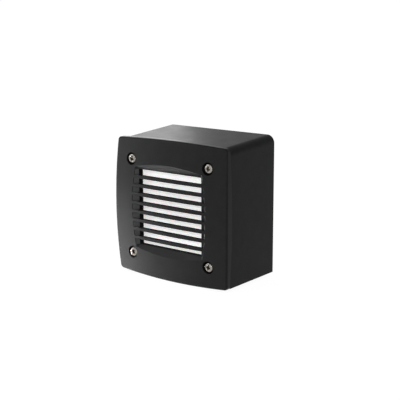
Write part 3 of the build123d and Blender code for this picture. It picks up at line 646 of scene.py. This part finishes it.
@dataclass(frozen=True)
class CircuitBoard(Finish):
    """Solder mask over copper tracks, with tinned pads."""

    roughness: float = 0.36
    gloss_swing: tuple[float, float] = (0.06, 0.06)
    smear_size: float = 0.8 * MM
    track: Colour = (0.10, 0.35, 0.14)
    track_pitch: float = 2.2 * MM
    track_width: float = 0.25 * MM
    track_height: float = 0.03 * MM
    pad: Colour = (0.62, 0.61, 0.58)
    pad_pitch: float = 3.6 * MM
    pad_edge: tuple[float, float] = (0.16, 0.20)  # where a pad ends, as a share of its pitch

    def lay(self, sheet: NodeSheet) -> None:
        """Lay out the tracks under the mask and the pads on them.

        Args:
            sheet: The material's nodes.
        """
        upright = sheet.add("ShaderNodeMapping")
        feed(upright, Vector=sheet.place, Rotation=(math.radians(90), 0, 0))
        lanes = sheet.add("ShaderNodeTexBrick", offset=0.5)
        feed(
            lanes,
            Vector=upright.outputs[0],
            Color1=(*WHITE, 1.0),
            Color2=(*WHITE, 1.0),
            Mortar=(0.0, 0.0, 0.0, 1.0),
            Scale=1.0,
            Mortar_Size=self.track_width,
            Brick_Width=4 * self.track_pitch,
            Row_Height=self.track_pitch,
        )
        lane = lanes.outputs["Color"]
        pads = sheet.span(sheet.cells(self.pad_pitch), *self.pad_edge, 1.0, 0.0)
        mask = sheet.blend(lane, self.track, self.varied(sheet))
        sheet.dress(
            Base_Color=sheet.blend(pads, mask, self.pad),
            Metallic=pads,
            Roughness=self.gloss(sheet, sheet.noise(self.smear_size)),
            Normal=sheet.relief(lane, self.track_height),
        )


@dataclass(frozen=True)
class Insulation(Finish):
    """Extruded wire insulation with faint streaks along it."""

    streak_size: float = 0.2 * MM
    streak_depth: float = 0.008 * MM
    stretch: Point = (0.15, 1.0, 1.0)  # draws the streaks out along X
    coat: float = 0.15
    coat_roughness: float = 0.3

    def lay(self, sheet: NodeSheet) -> None:
        """Lay out streaks and handling marks.

        Args:
            sheet: The material's nodes.
        """
        streaks = sheet.noise(self.streak_size, stretch=self.stretch)
        sheet.dress(
            Base_Color=self.varied(sheet),
            Roughness=self.gloss(sheet, streaks),
            Normal=sheet.relief(streaks, self.streak_depth),
            Coat_Weight=self.coat,
            Coat_Roughness=self.coat_roughness,
        )


FINISHES: tuple[Finish, ...] = (
    # the cover's and housing's edge factors below 1 paint shade on their edges, and the housing's
    # gap reach paints shade in its gaps
    LouvredPlastic(
        Slot.BLACK_COVER, (0.01, 0.01, 0.0104), 0.34, specular=0.10, wear_and_shade=0.3, wear_and_shade_reach=0.3 * MM
    ),
    MouldedPlastic(
        Slot.BLACK_HOUSING,
        (0.0102, 0.0102, 0.0106),
        0.36,
        specular=0.07,
        wear_and_shade=0.6,
        shade_reach=3.0 * MM,
    ),
    MouldedPlastic(Slot.BLACK_INNER, (0.010, 0.010, 0.011), 0.55, specular=0.2),
    Elastomer(Slot.BLACK_RUBBER, (0.014, 0.014, 0.014), 0.68, sheen=0.2),
    Elastomer(Slot.SILICONE, (0.52, 0.52, 0.50), 0.55, sheen=0.1, glow_through=0.3),
    OpalPlastic(Slot.OPAL, (0.88, 0.88, 0.87), 0.38, mottle=0.015, glow_strength=0.50),
    OpalPlastic(
        Slot.FROSTED, (0.84, 0.84, 0.82), 0.45, mottle=0.02, glow_strength=0.35, milk_depth=1.0 * MM
    ),
    WorkedMetal(
        Slot.STAINLESS,
        (0.3, 0.28, 0.252),
        0.24,
        mottle=0.05,
        mottle_size=2 * MM,
        grime_and_shade_reach=1.4 * MM,
    ),
    WorkedMetal(
        Slot.ZINC_STEEL,
        (0.60, 0.62, 0.64),
        0.34,
        mottle=0.06,
        mottle_size=2 * MM,
        passivated=(0.58, 0.60, 0.50),
    ),
    WorkedMetal(Slot.BRASS_PARTS, (0.70, 0.51, 0.22), 0.32, mottle=0.08, mottle_size=1.5 * MM),
    WorkedMetal(Slot.NICKEL_PINS, (0.66, 0.64, 0.60), 0.24, mottle=0.05, mottle_size=1.5 * MM),
    MouldedPlastic(
        Slot.NYLON, (0.70, 0.68, 0.62), 0.50, mottle=0.04, wear_and_shade=1.08, glow_through=0.25
    ),
    PaintedSteel(Slot.WHITE_STEEL, (0.72, 0.72, 0.70), 0.36, mottle=0.03),
    MouldedPlastic(
        Slot.HOLDER_WHITE, (0.66, 0.65, 0.61), 0.42, mottle=0.03, wear_and_shade=1.06, glow_through=0.1
    ),
    MouldedPlastic(
        Slot.LAMP_WHITE, (0.78, 0.78, 0.76), 0.36, mottle=0.02, wear_and_shade=1.05, glow_through=0.1
    ),
    CircuitBoard(Slot.BOARD_WHITE, (0.74, 0.74, 0.72), mottle=0.02, track=(0.66, 0.66, 0.63)),
    OpalPlastic(
        Slot.LED_YELLOW,
        (0.8, 0.62, 0.1),
        0.40,
        mottle=0.05,
        glow=(1.0, 0.93, 0.78),
        glow_strength=0.8,
    ),
    CircuitBoard(Slot.BOARD_GREEN, (0.02, 0.16, 0.06), mottle=0.06),
    MouldedPlastic(Slot.COMPONENTS, (0.03, 0.03, 0.035), 0.40, mottle=0.10, wear_and_shade=1.2),
    Insulation(Slot.LEAD_BROWN, (0.13, 0.05, 0.025), 0.40, mottle=0.05),
    Insulation(Slot.LEAD_BLUE, (0.03, 0.13, 0.42), 0.40, mottle=0.05),
)


class Finisher:
    """Makes each finish once and puts it on nodes and new pieces."""

    def __init__(self) -> None:
        """Make the finishes."""
        self.materials = {finish.slot: finish.build() for finish in FINISHES}

    def dress_node(self, name: str, node: bpy.types.Object, slot: Slot) -> None:
        """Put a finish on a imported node.

        Args:
            name: The node's name.
            node: Its object.
            slot: Slot of the finish.
        """
        if not node.material_slots:
            node.data.materials.append(None)
        for material_slot in node.material_slots:
            material_slot.material = self.materials[slot]
        LOG.info("dressed %s in %s", name, slot.value)

    def dress_piece(self, piece: bpy.types.Object, slot: Slot) -> None:
        """Put a finish on a new piece.

        Args:
            piece: The new piece.
            slot: Slot of the finish.
        """
        piece.data.materials.clear()
        piece.data.materials.append(self.materials[slot])


# ---- meshes


def new_piece(name: str, mesh: bpy.types.Mesh, smooth_angle: float = 35.0) -> bpy.types.Object:
    """Link a mesh to the scene as a piece, smooth up to an angle.

    Args:
        name: The piece's name.
        mesh: Its mesh.
        smooth_angle: Edges sharper than this stay crisp, in degrees.

    Returns:
        The piece.
    """
    piece = bpy.data.objects.new(name, mesh)
    bpy.context.scene.collection.objects.link(piece)
    for face in mesh.polygons:
        face.use_smooth = True
    mesh.set_sharp_from_angle(angle=math.radians(smooth_angle))
    return piece


def turned_mesh(
    name: str,
    outline: Outline,
    segments: int,
    relief: Callable[[float, int], float] | None = None,
    closed: bool = False,
) -> bpy.types.Mesh:
    """Turn an outline of (radius, depth) points about the Y axis.

    Args:
        name: The mesh's name.
        outline: Points from one end to the other, or round a ring.
        segments: Steps round the axis.
        relief: Extra radius at an angle and a point of the outline.
        closed: Whether the last point joins the first, as in a ring.

    Returns:
        The mesh, with faces that look outwards.
    """
    work = bmesh.new()
    rings = []
    for index, (radius, depth) in enumerate(outline):
        if radius <= 0:
            rings.append([work.verts.new((0, -depth, 0))])
            continue
        ring = []
        for step in range(segments):
            angle = 2 * math.pi * step / segments
            reach = radius + (relief(angle, index) if relief else 0.0)
            ring.append(work.verts.new((reach * math.cos(angle), -depth, reach * math.sin(angle))))
        rings.append(ring)
    pairs = list(zip(rings, rings[1:]))
    if closed:
        pairs.append((rings[-1], rings[0]))
    for near, far in pairs:
        for step in range(segments):
            after = (step + 1) % segments
            spots = ((near, step), (near, after), (far, after), (far, step))
            corners = list(dict.fromkeys(ring[spot % len(ring)] for ring, spot in spots))
            if len(corners) > 2:
                work.faces.new(corners)
    return finished_mesh(work, name)


def finished_mesh(work: bmesh.types.BMesh, name: str) -> bpy.types.Mesh:
    """Turn a working mesh's faces outwards and keep it as a mesh.

    Args:
        work: The working mesh, which is freed.
        name: The mesh's name.

    Returns:
        The mesh.
    """
    bmesh.ops.recalc_face_normals(work, faces=work.faces)
    mesh = bpy.data.meshes.new(name)
    work.to_mesh(mesh)
    work.free()
    return mesh


def cut_away(piece: bpy.types.Object, cutter: bpy.types.Object) -> None:
    """Cut one piece's volume out of another and drop the cutter.

    Args:
        piece: The piece to cut.
        cutter: The piece that is taken away.
    """
    tool = piece.modifiers.new("cut", "BOOLEAN")
    tool.operation = "DIFFERENCE"
    tool.solver = "EXACT"
    tool.object = cutter
    apply_modifiers(piece)
    bpy.data.objects.remove(cutter)


def apply_modifiers(piece: bpy.types.Object) -> None:
    """Bake a piece's modifiers into its mesh.

    Args:
        piece: The piece.
    """
    bpy.context.view_layer.update()
    graph = bpy.context.evaluated_depsgraph_get()
    mesh = bpy.data.meshes.new_from_object(piece.evaluated_get(graph))
    piece.modifiers.clear()
    old = piece.data
    piece.data = mesh
    bpy.data.meshes.remove(old)


def soften(piece: bpy.types.Object, width: float) -> None:
    """Round a piece's sharp edges.

    Args:
        piece: The piece.
        width: Width of the rounding, in metres.
    """
    bevel = piece.modifiers.new("round", "BEVEL")
    bevel.width = width
    bevel.segments = 2
    bevel.limit_method = "ANGLE"
    bevel.angle_limit = math.radians(SHARP_ANGLE)
    apply_modifiers(piece)


@dataclass
class Piece:
    """What every sub-assembly shares: the maker of the finishes."""

    finisher: Finisher

    def settle(self, piece: bpy.types.Object, body: str, slot: Slot) -> bpy.types.Object:
        """Dress a new piece, let it ride on a body and report it.

        Args:
            piece: The piece.
            body: Body that it moves with.
            slot: Slot of its finish.

        Returns:
            The piece.
        """
        self.finisher.dress_piece(piece, slot)
        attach(piece, body)
        LOG.info("built %s on %s", piece.name, body)
        return piece


# ---- cover screws


@dataclass
class CoverScrews(Piece):
    """The four stainless pan head screws, with a cross recess and a rolled thread."""

    head_height: float = 3.1 * MM
    head_rim: float = 1.2 * MM
    head_edge: float = 0.07 * MM
    rim_chamfer: float = 0.15 * MM
    crown_share: float = 0.62  # where the dome's shoulder lies, of the head's radius
    crown_rise: float = 0.94  # of the height above the rim that the dome takes up
    crown_drop: float = 0.02 * MM
    crown_steps: int = 9
    thread_pitch: float = 0.7 * MM
    thread_height: float = 0.34 * MM
    crest_radius: float = 1.95 * MM
    thread_runout: float = 0.8 * MM
    tip_chamfer: float = 0.5 * MM
    recess_span: float = 4.4 * MM
    recess_slot: float = 1.35 * MM
    recess_root: float = 1.35  # where two arms meet, in halves of a slot
    recess_depth: float = 2.1 * MM
    recess_floor: float = 0.6  # size of the recess's floor against its mouth
    cutter_rise: float = 0.3 * MM  # how far the cutter stands above the head
    turns: tuple[float, ...] = (18.0, 8.0, 30.0, 12.0)  # how each cross stands, degrees
    segments: int = 48
    steps_per_turn: int = 8

    def shank(self, name: str, seat: float, tip: float) -> bpy.types.Mesh:
        """Threaded shank whose thread fades out under the head and at the tip.

        Args:
            name: The mesh's name.
            seat: Depth of the head's seat.
            tip: Depth of the tip.

        Returns:
            The mesh.
        """
        step = self.thread_pitch / self.steps_per_turn
        count = int((seat - tip - self.tip_chamfer) / step) + 1
        thread = [(self.crest_radius, seat - index * step) for index in range(count)]
        end = (self.crest_radius - self.tip_chamfer, tip)
        outline = [(0.0, seat), *thread, end, (0.0, tip)]

        def groove(angle: float, index: int) -> float:
            """Depth of the thread's groove at a point of the shank.

            Args:
                angle: Angle round the axis, in radians.
                index: Number of the point on the outline.

            Returns:
                The extra radius, below 0 in the groove.
            """
            if not 1 <= index <= count:
                return 0.0
            depth = seat - outline[index][1]
            phase = (depth / self.thread_pitch + angle / (2 * math.pi)) % 1.0
            fall = abs(2 * phase - 1)
            fade = min(1.0, depth / self.thread_runout)
            return -self.thread_height * fall * fade

        return turned_mesh(name, outline, self.segments, groove)

    def head(self, name: str, radius: float, seat: float) -> bpy.types.Mesh:
        """Pan head: a short rim under a flat-topped dome.

        Args:
            name: The mesh's name.
            radius: The head's radius.
            seat: Depth of its seat.

        Returns:
            The mesh.
        """
        shoulder = radius * self.crown_share
        rise = (self.head_height - self.head_rim) * self.crown_rise
        chamfer = self.rim_chamfer
        outline = [(0.0, seat), (radius - chamfer, seat), (radius, seat + chamfer)]
        for step in range(self.crown_steps + 1):
            angle = math.pi / 2 * step / self.crown_steps
            reach = shoulder + (radius - shoulder) * math.cos(angle)
            outline.append((reach, seat + self.head_rim + rise * math.sin(angle)))
        top = seat + self.head_height
        outline += [(shoulder / 2, top - self.crown_drop), (0.0, top)]
        return turned_mesh(name, outline, self.segments)

    def recess(self, name: str, top: float, angle: float) -> bpy.types.Object:
        """Tapered cross that the driver's recess is cut with.

        Args:
            name: The cutter's name.
            top: Depth of the head's top.
            angle: How the cross stands, in degrees.

        Returns:
            The cutter.
        """
        work = bmesh.new()
        arm, half = self.recess_span / 2, self.recess_slot / 2
        root = half * self.recess_root
        levels = ((self.cutter_rise, 1.0), (0.0, 1.0), (-self.recess_depth, self.recess_floor))
        loops = []
        for offset, share in levels:
            corners = ((root, root), (arm * share, half * share), (arm * share, -half * share))
            loop = []
            for quarter in range(4):
                turn = Matrix.Rotation(math.radians(angle + 90 * quarter), 3, "Y")
                for x, z in corners:
                    spot = turn @ Vector((x, 0, z))
                    loop.append(work.verts.new((spot.x, -(top + offset), spot.z)))
            loops.append(loop)
        count = len(loops[0])
        for near, far in zip(loops, loops[1:]):
            for step in range(count):
                after = (step + 1) % count
                work.faces.new((near[step], near[after], far[after], far[step]))
        work.faces.new(loops[0])
        work.faces.new(list(reversed(loops[-1])))
        return new_piece(name, finished_mesh(work, name))

    def build(self) -> None:
        """Build, place and dress the four screws."""
        for number, turn in zip(SCREW_NUMBERS, self.turns):
            node = f"cover_screw_{number}"
            low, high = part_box(node)
            radius = (high.x - low.x) / 2
            seat = -low.y - self.head_height
            head = new_piece(f"{node}_head", self.head(f"{node}_head", radius, seat))
            cut_away(head, self.recess(f"{node}_cutter", -low.y, turn))
            soften(head, self.head_edge)
            shank = new_piece(f"{node}_thread", self.shank(f"{node}_thread", seat, -high.y))
            for piece in (head, shank):
                piece.location = ((low.x + high.x) / 2, 0, (low.z + high.z) / 2)
                self.settle(piece, f"screw_{number}", Slot.STAINLESS)
                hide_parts(node)


# ---- inserts


@dataclass
class KnurledInserts(Piece):
    """The brass inserts: two knurled bands with a groove between them, tapped inside."""

    bore_radius: float = 2.0 * MM
    thread_pitch: float = 0.7 * MM
    thread_height: float = 0.25 * MM
    knurls: int = 28
    knurl_height: float = 0.18 * MM
    knurl_lean: float = 6.0  # half turns of phase from end to end, one way in each band
    groove_height: float = 0.45 * MM
    groove_share: float = 0.12  # half of the groove's width, of the insert's length
    rows: int = 25
    segments: int = 84

    def ring(self, name: str, radius: float, bottom: float, top: float) -> bpy.types.Mesh:
        """One insert about the Y axis.

        Args:
            name: The mesh's name.
            radius: Radius over the knurls.
            bottom: Depth of its lower end.
            top: Depth of its upper end.

        Returns:
            The mesh.
        """
        depths = [bottom + (top - bottom) * row / (self.rows - 1) for row in range(self.rows)]
        outer = [(radius, depth) for depth in depths]
        inner = [(self.bore_radius, depth) for depth in reversed(depths)]
        outline = outer + inner
        middle = (bottom + top) / 2

        def relief(angle: float, index: int) -> float:
            """Knurls outside, thread inside.

            Args:
                angle: Angle round the axis, in radians.
                index: Number of the point on the outline.

            Returns:
                The extra radius.
            """
            depth = outline[index][1]
            share = (depth - bottom) / (top - bottom)
            if index >= self.rows:
                phase = (depth / self.thread_pitch + angle / (2 * math.pi)) % 1.0
                return self.thread_height * (1 - abs(2 * phase - 1))
            if abs(depth - middle) < self.groove_share * (top - bottom) or share in (0.0, 1.0):
                return -self.groove_height
            lean = self.knurl_lean if depth > middle else -self.knurl_lean
            wave = math.cos(self.knurls * angle + share * math.pi * lean)
            return -self.knurl_height * (0.5 - 0.5 * wave)

        return turned_mesh(name, outline, self.segments, relief, closed=True)

    def build(self) -> None:
        """Build the insert below each cover screw."""
        low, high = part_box("threaded_inserts")
        pieces = []
        for number in SCREW_NUMBERS:
            screw_low, screw_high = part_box(f"cover_screw_{number}")
            centre = (screw_low + screw_high) / 2
            radius = (high.x - centre.x) if centre.x > 0 else (centre.x - low.x)
            name = f"threaded_insert_{number}"
            piece = new_piece(name, self.ring(name, radius, -high.y, -low.y))
            piece.location = (centre.x, 0, centre.z)
            pieces.append(self.settle(piece, "housing", Slot.BRASS_PARTS))
        for piece in pieces:
            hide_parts("threaded_inserts")


# ---- lamp


@dataclass
class LampTrim(Piece):
    """Grip ribs round the lamp's case and the bead round its lens."""

    ribs: int = 72
    rib_height: float = 0.45 * MM
    rib_power: float = 0.6  # below 1 widens the ribs' crests
    case_height: float = 17.0 * MM
    rib_bottom: float = 4.8 * MM  # up from the case's back
    rib_top: float = 2.0 * MM  # down from the case's rim
    rib_fade: float = 0.6 * MM  # over which the ribs rise at the band's ends
    band_sink: float = 0.3 * MM  # how deep the band reaches into the case
    crisp_angle: float = 50.0
    steps_per_rib: int = 8
    bead_radius: float = 0.5 * MM
    bead_outset: float = 0.4 * MM  # out from the lens
    bead_drop: float = 0.2 * MM  # down from the case's rim
    bead_steps: int = 10
    bead_segments: int = 120

    def grip(self, radius: float, bottom: float, top: float) -> bpy.types.Mesh:
        """Ribbed band that hugs the case.

        Args:
            radius: The case's radius.
            bottom: Depth of the band's lower end.
            top: Depth of its upper end.

        Returns:
            The mesh.
        """
        inner = radius - self.band_sink
        outline = [
            (inner, bottom),
            (radius, bottom),
            (radius, bottom + self.rib_fade),
            (radius, top - self.rib_fade),
            (radius, top),
            (inner, top),
        ]

        def relief(angle: float, index: int) -> float:
            """Height of the ribs, none at the band's ends.

            Args:
                angle: Angle round the axis, in radians.
                index: Number of the point on the outline.

            Returns:
                The extra radius.
            """
            if index not in (2, 3):
                return 0.0
            wave = 0.5 + 0.5 * math.cos(self.ribs * angle)
            return self.rib_height * wave**self.rib_power

        segments = self.ribs * self.steps_per_rib
        return turned_mesh("lamp_grip", outline, segments, relief, closed=True)

    def bead(self, radius: float, depth: float) -> bpy.types.Mesh:
        """Small round bead that finishes the joint between case and lens.

        Args:
            radius: Radius of the joint.
            depth: Depth of the case's rim.

        Returns:
            The mesh.
        """
        outline = []
        for step in range(self.bead_steps):
            angle = 2 * math.pi * step / self.bead_steps
            out, up = self.bead_radius * math.cos(angle), self.bead_radius * math.sin(angle)
            outline.append((radius + out, depth + up))
        return turned_mesh("lamp_bead", outline, self.bead_segments, closed=True)

    def build(self) -> None:
        """Build the trim round the lamp."""
        low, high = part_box("lamp_body")
        lens_low, lens_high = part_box("lamp_lens")
        radius, joint = (high.x - low.x) / 2, (lens_high.x - lens_low.x) / 2 + self.bead_outset
        rim = -low.y
        bottom = rim - self.case_height + self.rib_bottom
        band = self.grip(radius, bottom, rim - self.rib_top)
        self.settle(new_piece("lamp_grip", band, self.crisp_angle), "lamp", Slot.LAMP_WHITE)
        bead = self.bead(joint, rim - self.bead_drop)
        self.settle(new_piece("lamp_bead", bead), "lamp", Slot.LAMP_WHITE)


# ---- stage, lamps and camera


@dataclass(frozen=True)
class Softbox:
    """An area lamp that points at a spot on the object."""

    name: str
    place: Point
    target: Point
    width: float
    height: float
    radiance: float
    through_floor: bool = False  # stands below the floor, which lets its light through

    def build(self) -> None:
        """Make the lamp, with its power worked out from its size and radiance."""
        data = bpy.data.lights.new(self.name, "AREA")
        data.shape = "RECTANGLE"
        data.size = self.width
        data.size_y = self.height
        data.energy = self.radiance * math.pi * self.width * self.height
        data.cycles.use_multiple_importance_sampling = not self.through_floor
        lamp = bpy.data.objects.new(self.name, data)
        lamp.location = self.place
        away = Vector(self.place) - Vector(self.target)
        lamp.rotation_euler = away.to_track_quat("Z", "Y").to_euler()
        lamp.visible_camera = False
        bpy.context.scene.collection.objects.link(lamp)
        LOG.info("lit with %s", self.name)


@dataclass(frozen=True)
class PhotoCamera:
    """The camera that the photograph was taken with, worked out from the light's corners."""

    azimuth: float = 38.563  # to the right of straight on, degrees
    elevation: float = 12.527
    roll: float = -0.255
    distance: float = 0.7877
    target: Point = (0.0, -0.033, 0.0)
    focal_length: float = 89.009  # mm, on a frame of the width below
    frame_width: float = 36.0
    nearest: float = 0.01
    farthest: float = 50.0
    shift_x: float = 0.01556
    shift_y: float = 0.01310

    def build(self) -> None:
        """Make the camera and use it."""
        data = bpy.data.cameras.new("photo_camera")
        data.sensor_width = self.frame_width
        data.lens = self.focal_length
        data.shift_x = self.shift_x
        data.shift_y = self.shift_y
        data.clip_start = self.nearest
        data.clip_end = self.farthest
        camera = bpy.data.objects.new("photo_camera", data)
        turn = Matrix.Rotation(math.radians(self.azimuth), 4, "Z")
        turn @= Matrix.Rotation(math.radians(90 - self.elevation), 4, "X")
        turn @= Matrix.Rotation(math.radians(self.roll), 4, "Z")
        distance = Matrix.Translation((0, 0, self.distance))
        camera.matrix_world = Matrix.Translation(self.target) @ turn @ distance
        bpy.context.scene.collection.objects.link(camera)
        bpy.context.scene.camera = camera


@dataclass
class Studio:
    """White sweep under the light, soft lamps round it and the camera."""

    floor_radius: float = 3.0
    floor_clearance: float = 0.2 * MM
    floor_glow: float = 1.08
    paper: Colour = (0.86, 0.86, 0.86)
    sweep_share: float = 0.25  # radius of the sweep against the floor's
    sweep_steps: int = 8
    segments: int = 96
    shadow_share: float = 0.12  # how much of the floor's own shading the camera sees
    fill: float = 0.6  # strength of the even light from all round
    ceiling: float = 0.50  # brightness of the room above the sweep, as gloss shows it
    ceiling_start: float = 0.02  # rise of a direction at which the sweep begins to fade
    ceiling_end: float = 0.30
    softboxes: tuple[Softbox, ...] = (
        Softbox("back_left", (-0.278, 0.155, 0.19), (-0.035, -0.03, 0.05), 0.19, 0.16, 3.3),
        Softbox(
            "table_left",
            (-0.38, -0.17, -0.18),
            (-0.05, -0.06, -0.02),
            0.20,
            0.24,
            11.5,
            through_floor=True,
        ),
        Softbox("front_high", (0.13, -0.72, 0.37), (0.0, -0.06, 0.0), 0.16, 0.16, 5.0),
        Softbox("front_left", (-0.50, -0.52, 0.36), (0.0, -0.06, -0.02), 0.42, 0.36, 2.6),
        Softbox("left_low", (-0.46, -0.30, 0.05), (-0.05, -0.06, 0.04), 0.16, 0.14, 3.0),
        Softbox("spark", (0.25, -0.60, 0.12), (0.03, -0.06, 0.0), 0.05, 0.05, 30.0),
    )
    camera: PhotoCamera = field(default_factory=PhotoCamera)

    def sky(self) -> None:
        """Even light all round, white where it is seen, and in gloss fading to a dim ceiling."""
        world = bpy.data.worlds.new("studio")
        world.use_nodes = True
        tree = world.node_tree
        tree.nodes.clear()
        output = tree.nodes.new("ShaderNodeOutputWorld")
        place = tree.nodes.new("ShaderNodeTexCoord")
        parts = tree.nodes.new("ShaderNodeSeparateXYZ")
        feed(parts, Vector=place.outputs["Generated"])
        room = tree.nodes.new("ShaderNodeMapRange")
        start, end = self.ceiling_start, self.ceiling_end
        feed(room, Value=parts.outputs["Z"], From_Min=start, From_Max=end)
        feed(room, To_Min=1.0, To_Max=self.ceiling)
        path = tree.nodes.new("ShaderNodeLightPath")
        level = self.choose(path, Ray.GLOSSY, self.fill, room.outputs[0])
        level = self.choose(path, Ray.TRANSMISSION, level, 1.0)
        level = self.choose(path, Ray.CAMERA, level, 1.0)
        background = tree.nodes.new("ShaderNodeBackground")
        feed(background, Color=(*WHITE, 1.0), Strength=level)
        feed(output, Surface=background.outputs[0])
        bpy.context.scene.world = world

    def choose(
        self, path: bpy.types.Node, ray: Ray, other: Socket | float, hit: Socket | float
    ) -> Socket:
        """Give one value to rays of a kind and another to the rest.

        Args:
            path: The node that tells the rays apart.
            ray: The kind.
            other: Value for the rest.
            hit: Value for rays of that kind.

        Returns:
            The value.
        """
        node = path.id_data.nodes.new("ShaderNodeMapRange")
        feed(node, Value=path.outputs[ray.value], To_Min=other, To_Max=hit)
        return node.outputs[0]

    def floor_finish(self) -> bpy.types.Material:
        """Pale floor that is white where it is seen, and keeps a faint shadow.

        Returns:
            The material.
        """
        material = bpy.data.materials.new("pale_floor")
        material.use_nodes = True
        tree = material.node_tree
        tree.nodes.clear()
        output = tree.nodes.new("ShaderNodeOutputMaterial")
        paper = tree.nodes.new("ShaderNodeBsdfDiffuse")
        feed(paper, Color=(*self.paper, 1.0))
        glow = tree.nodes.new("ShaderNodeEmission")
        feed(glow, Strength=self.floor_glow)
        path = tree.nodes.new("ShaderNodeLightPath")
        share = 0.0
        for ray in Ray:
            share = self.choose(path, ray, share, 1.0 - self.shadow_share)
        mix = tree.nodes.new("ShaderNodeMixShader")
        feed(mix, Fac=share, slot_1=paper.outputs[0], slot_2=glow.outputs[0])
        feed(output, Surface=mix.outputs[0])
        return material

    def floor(self, bottom: float) -> None:
        """Round floor whose far edge sweeps up.

        Args:
            bottom: Height of the object's lowest point.
        """
        level = bottom - self.floor_clearance
        sweep = self.floor_radius * self.sweep_share
        outline = [(0.0, -level), (self.floor_radius, -level)]
        for step in range(1, self.sweep_steps + 1):
            angle = math.pi / 2 * step / self.sweep_steps
            out, up = sweep * math.sin(angle), sweep * (1 - math.cos(angle))
            outline.append((self.floor_radius + out, -level - up))
        mesh = turned_mesh("floor", outline, self.segments)
        mesh.transform(Matrix.Rotation(math.radians(90), 4, "X"))
        floor = new_piece("floor", mesh)
        floor.data.materials.append(self.floor_finish())
        floor.visible_shadow = False
        floor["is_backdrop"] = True

    def build(self, bottom: float) -> None:
        """Set up floor, lamps, sky and camera.

        Args:
            bottom: Height of the object's lowest point.
        """
        self.floor(bottom)
        self.sky()
        for softbox in self.softboxes:
            softbox.build()
        self.camera.build()
        bpy.context.scene.view_settings.view_transform = "Standard"


# ---- the whole light


NODE_FINISHES: dict[Slot, tuple[str, ...]] = {
    Slot.BLACK_COVER: ("front_cover",),
    Slot.BLACK_HOUSING: ("housing",),
    Slot.BLACK_INNER: ("diffuser_frame",),
    Slot.BLACK_RUBBER: ("cable_grommet",),
    Slot.SILICONE: (
        "cover_gasket",
        "diffuser_gasket",
        "wall_screw_seals",
        *(f"screw_seal_{number}" for number in SCREW_NUMBERS),
    ),
    Slot.OPAL: ("diffuser",),
    Slot.FROSTED: ("lamp_lens",),
    Slot.STAINLESS: tuple(f"cover_screw_{number}" for number in SCREW_NUMBERS),
    Slot.ZINC_STEEL: (
        "diffuser_frame_screws",
        "plate_screws",
        "lampholder_screws",
        "terminal_screws",
        "terminal_fixing_screw",
    ),
    Slot.BRASS_PARTS: ("threaded_inserts", "lampholder_contacts", "terminal_clamps"),
    Slot.NYLON: ("screw_retainers", "terminal_block"),
    Slot.WHITE_STEEL: ("mounting_plate",),
    Slot.HOLDER_WHITE: ("lampholder_body",),
    Slot.LAMP_WHITE: ("lamp_body",),
    Slot.NICKEL_PINS: ("lamp_pins",),
    Slot.BOARD_WHITE: ("led_board",),
    Slot.LED_YELLOW: ("led_chips",),
    Slot.BOARD_GREEN: ("driver_board",),
    Slot.COMPONENTS: ("driver_components",),
    Slot.LEAD_BROWN: ("lead_live",),
    Slot.LEAD_BLUE: ("lead_neutral",),
}


def dress_nodes(frame: dict, finisher: Finisher) -> None:
    """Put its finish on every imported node, those that a new piece stands for included.

    Args:
        frame: The loaded frame.
        finisher: Maker of the finishes.
    """
    finish_of = {node: slot for slot, nodes in NODE_FINISHES.items() for node in nodes}
    for name, node in frame["nodes"].items():
        finisher.dress_node(name, node, finish_of[name])


def main() -> None:
    """Load the frame, build and dress every sub-assembly, and set up the studio below the model's
    lowest point.
    """
    logging.basicConfig(level=logging.INFO, format="%(name)s: %(message)s")
    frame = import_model()
    model_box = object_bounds()
    finisher = Finisher()
    dress_nodes(frame, finisher)
    for assembly in (CoverScrews, KnurledInserts, LampTrim):
        assembly(finisher).build()
    Studio().build(model_box[0].z)


if __name__ == "__main__":
    main()
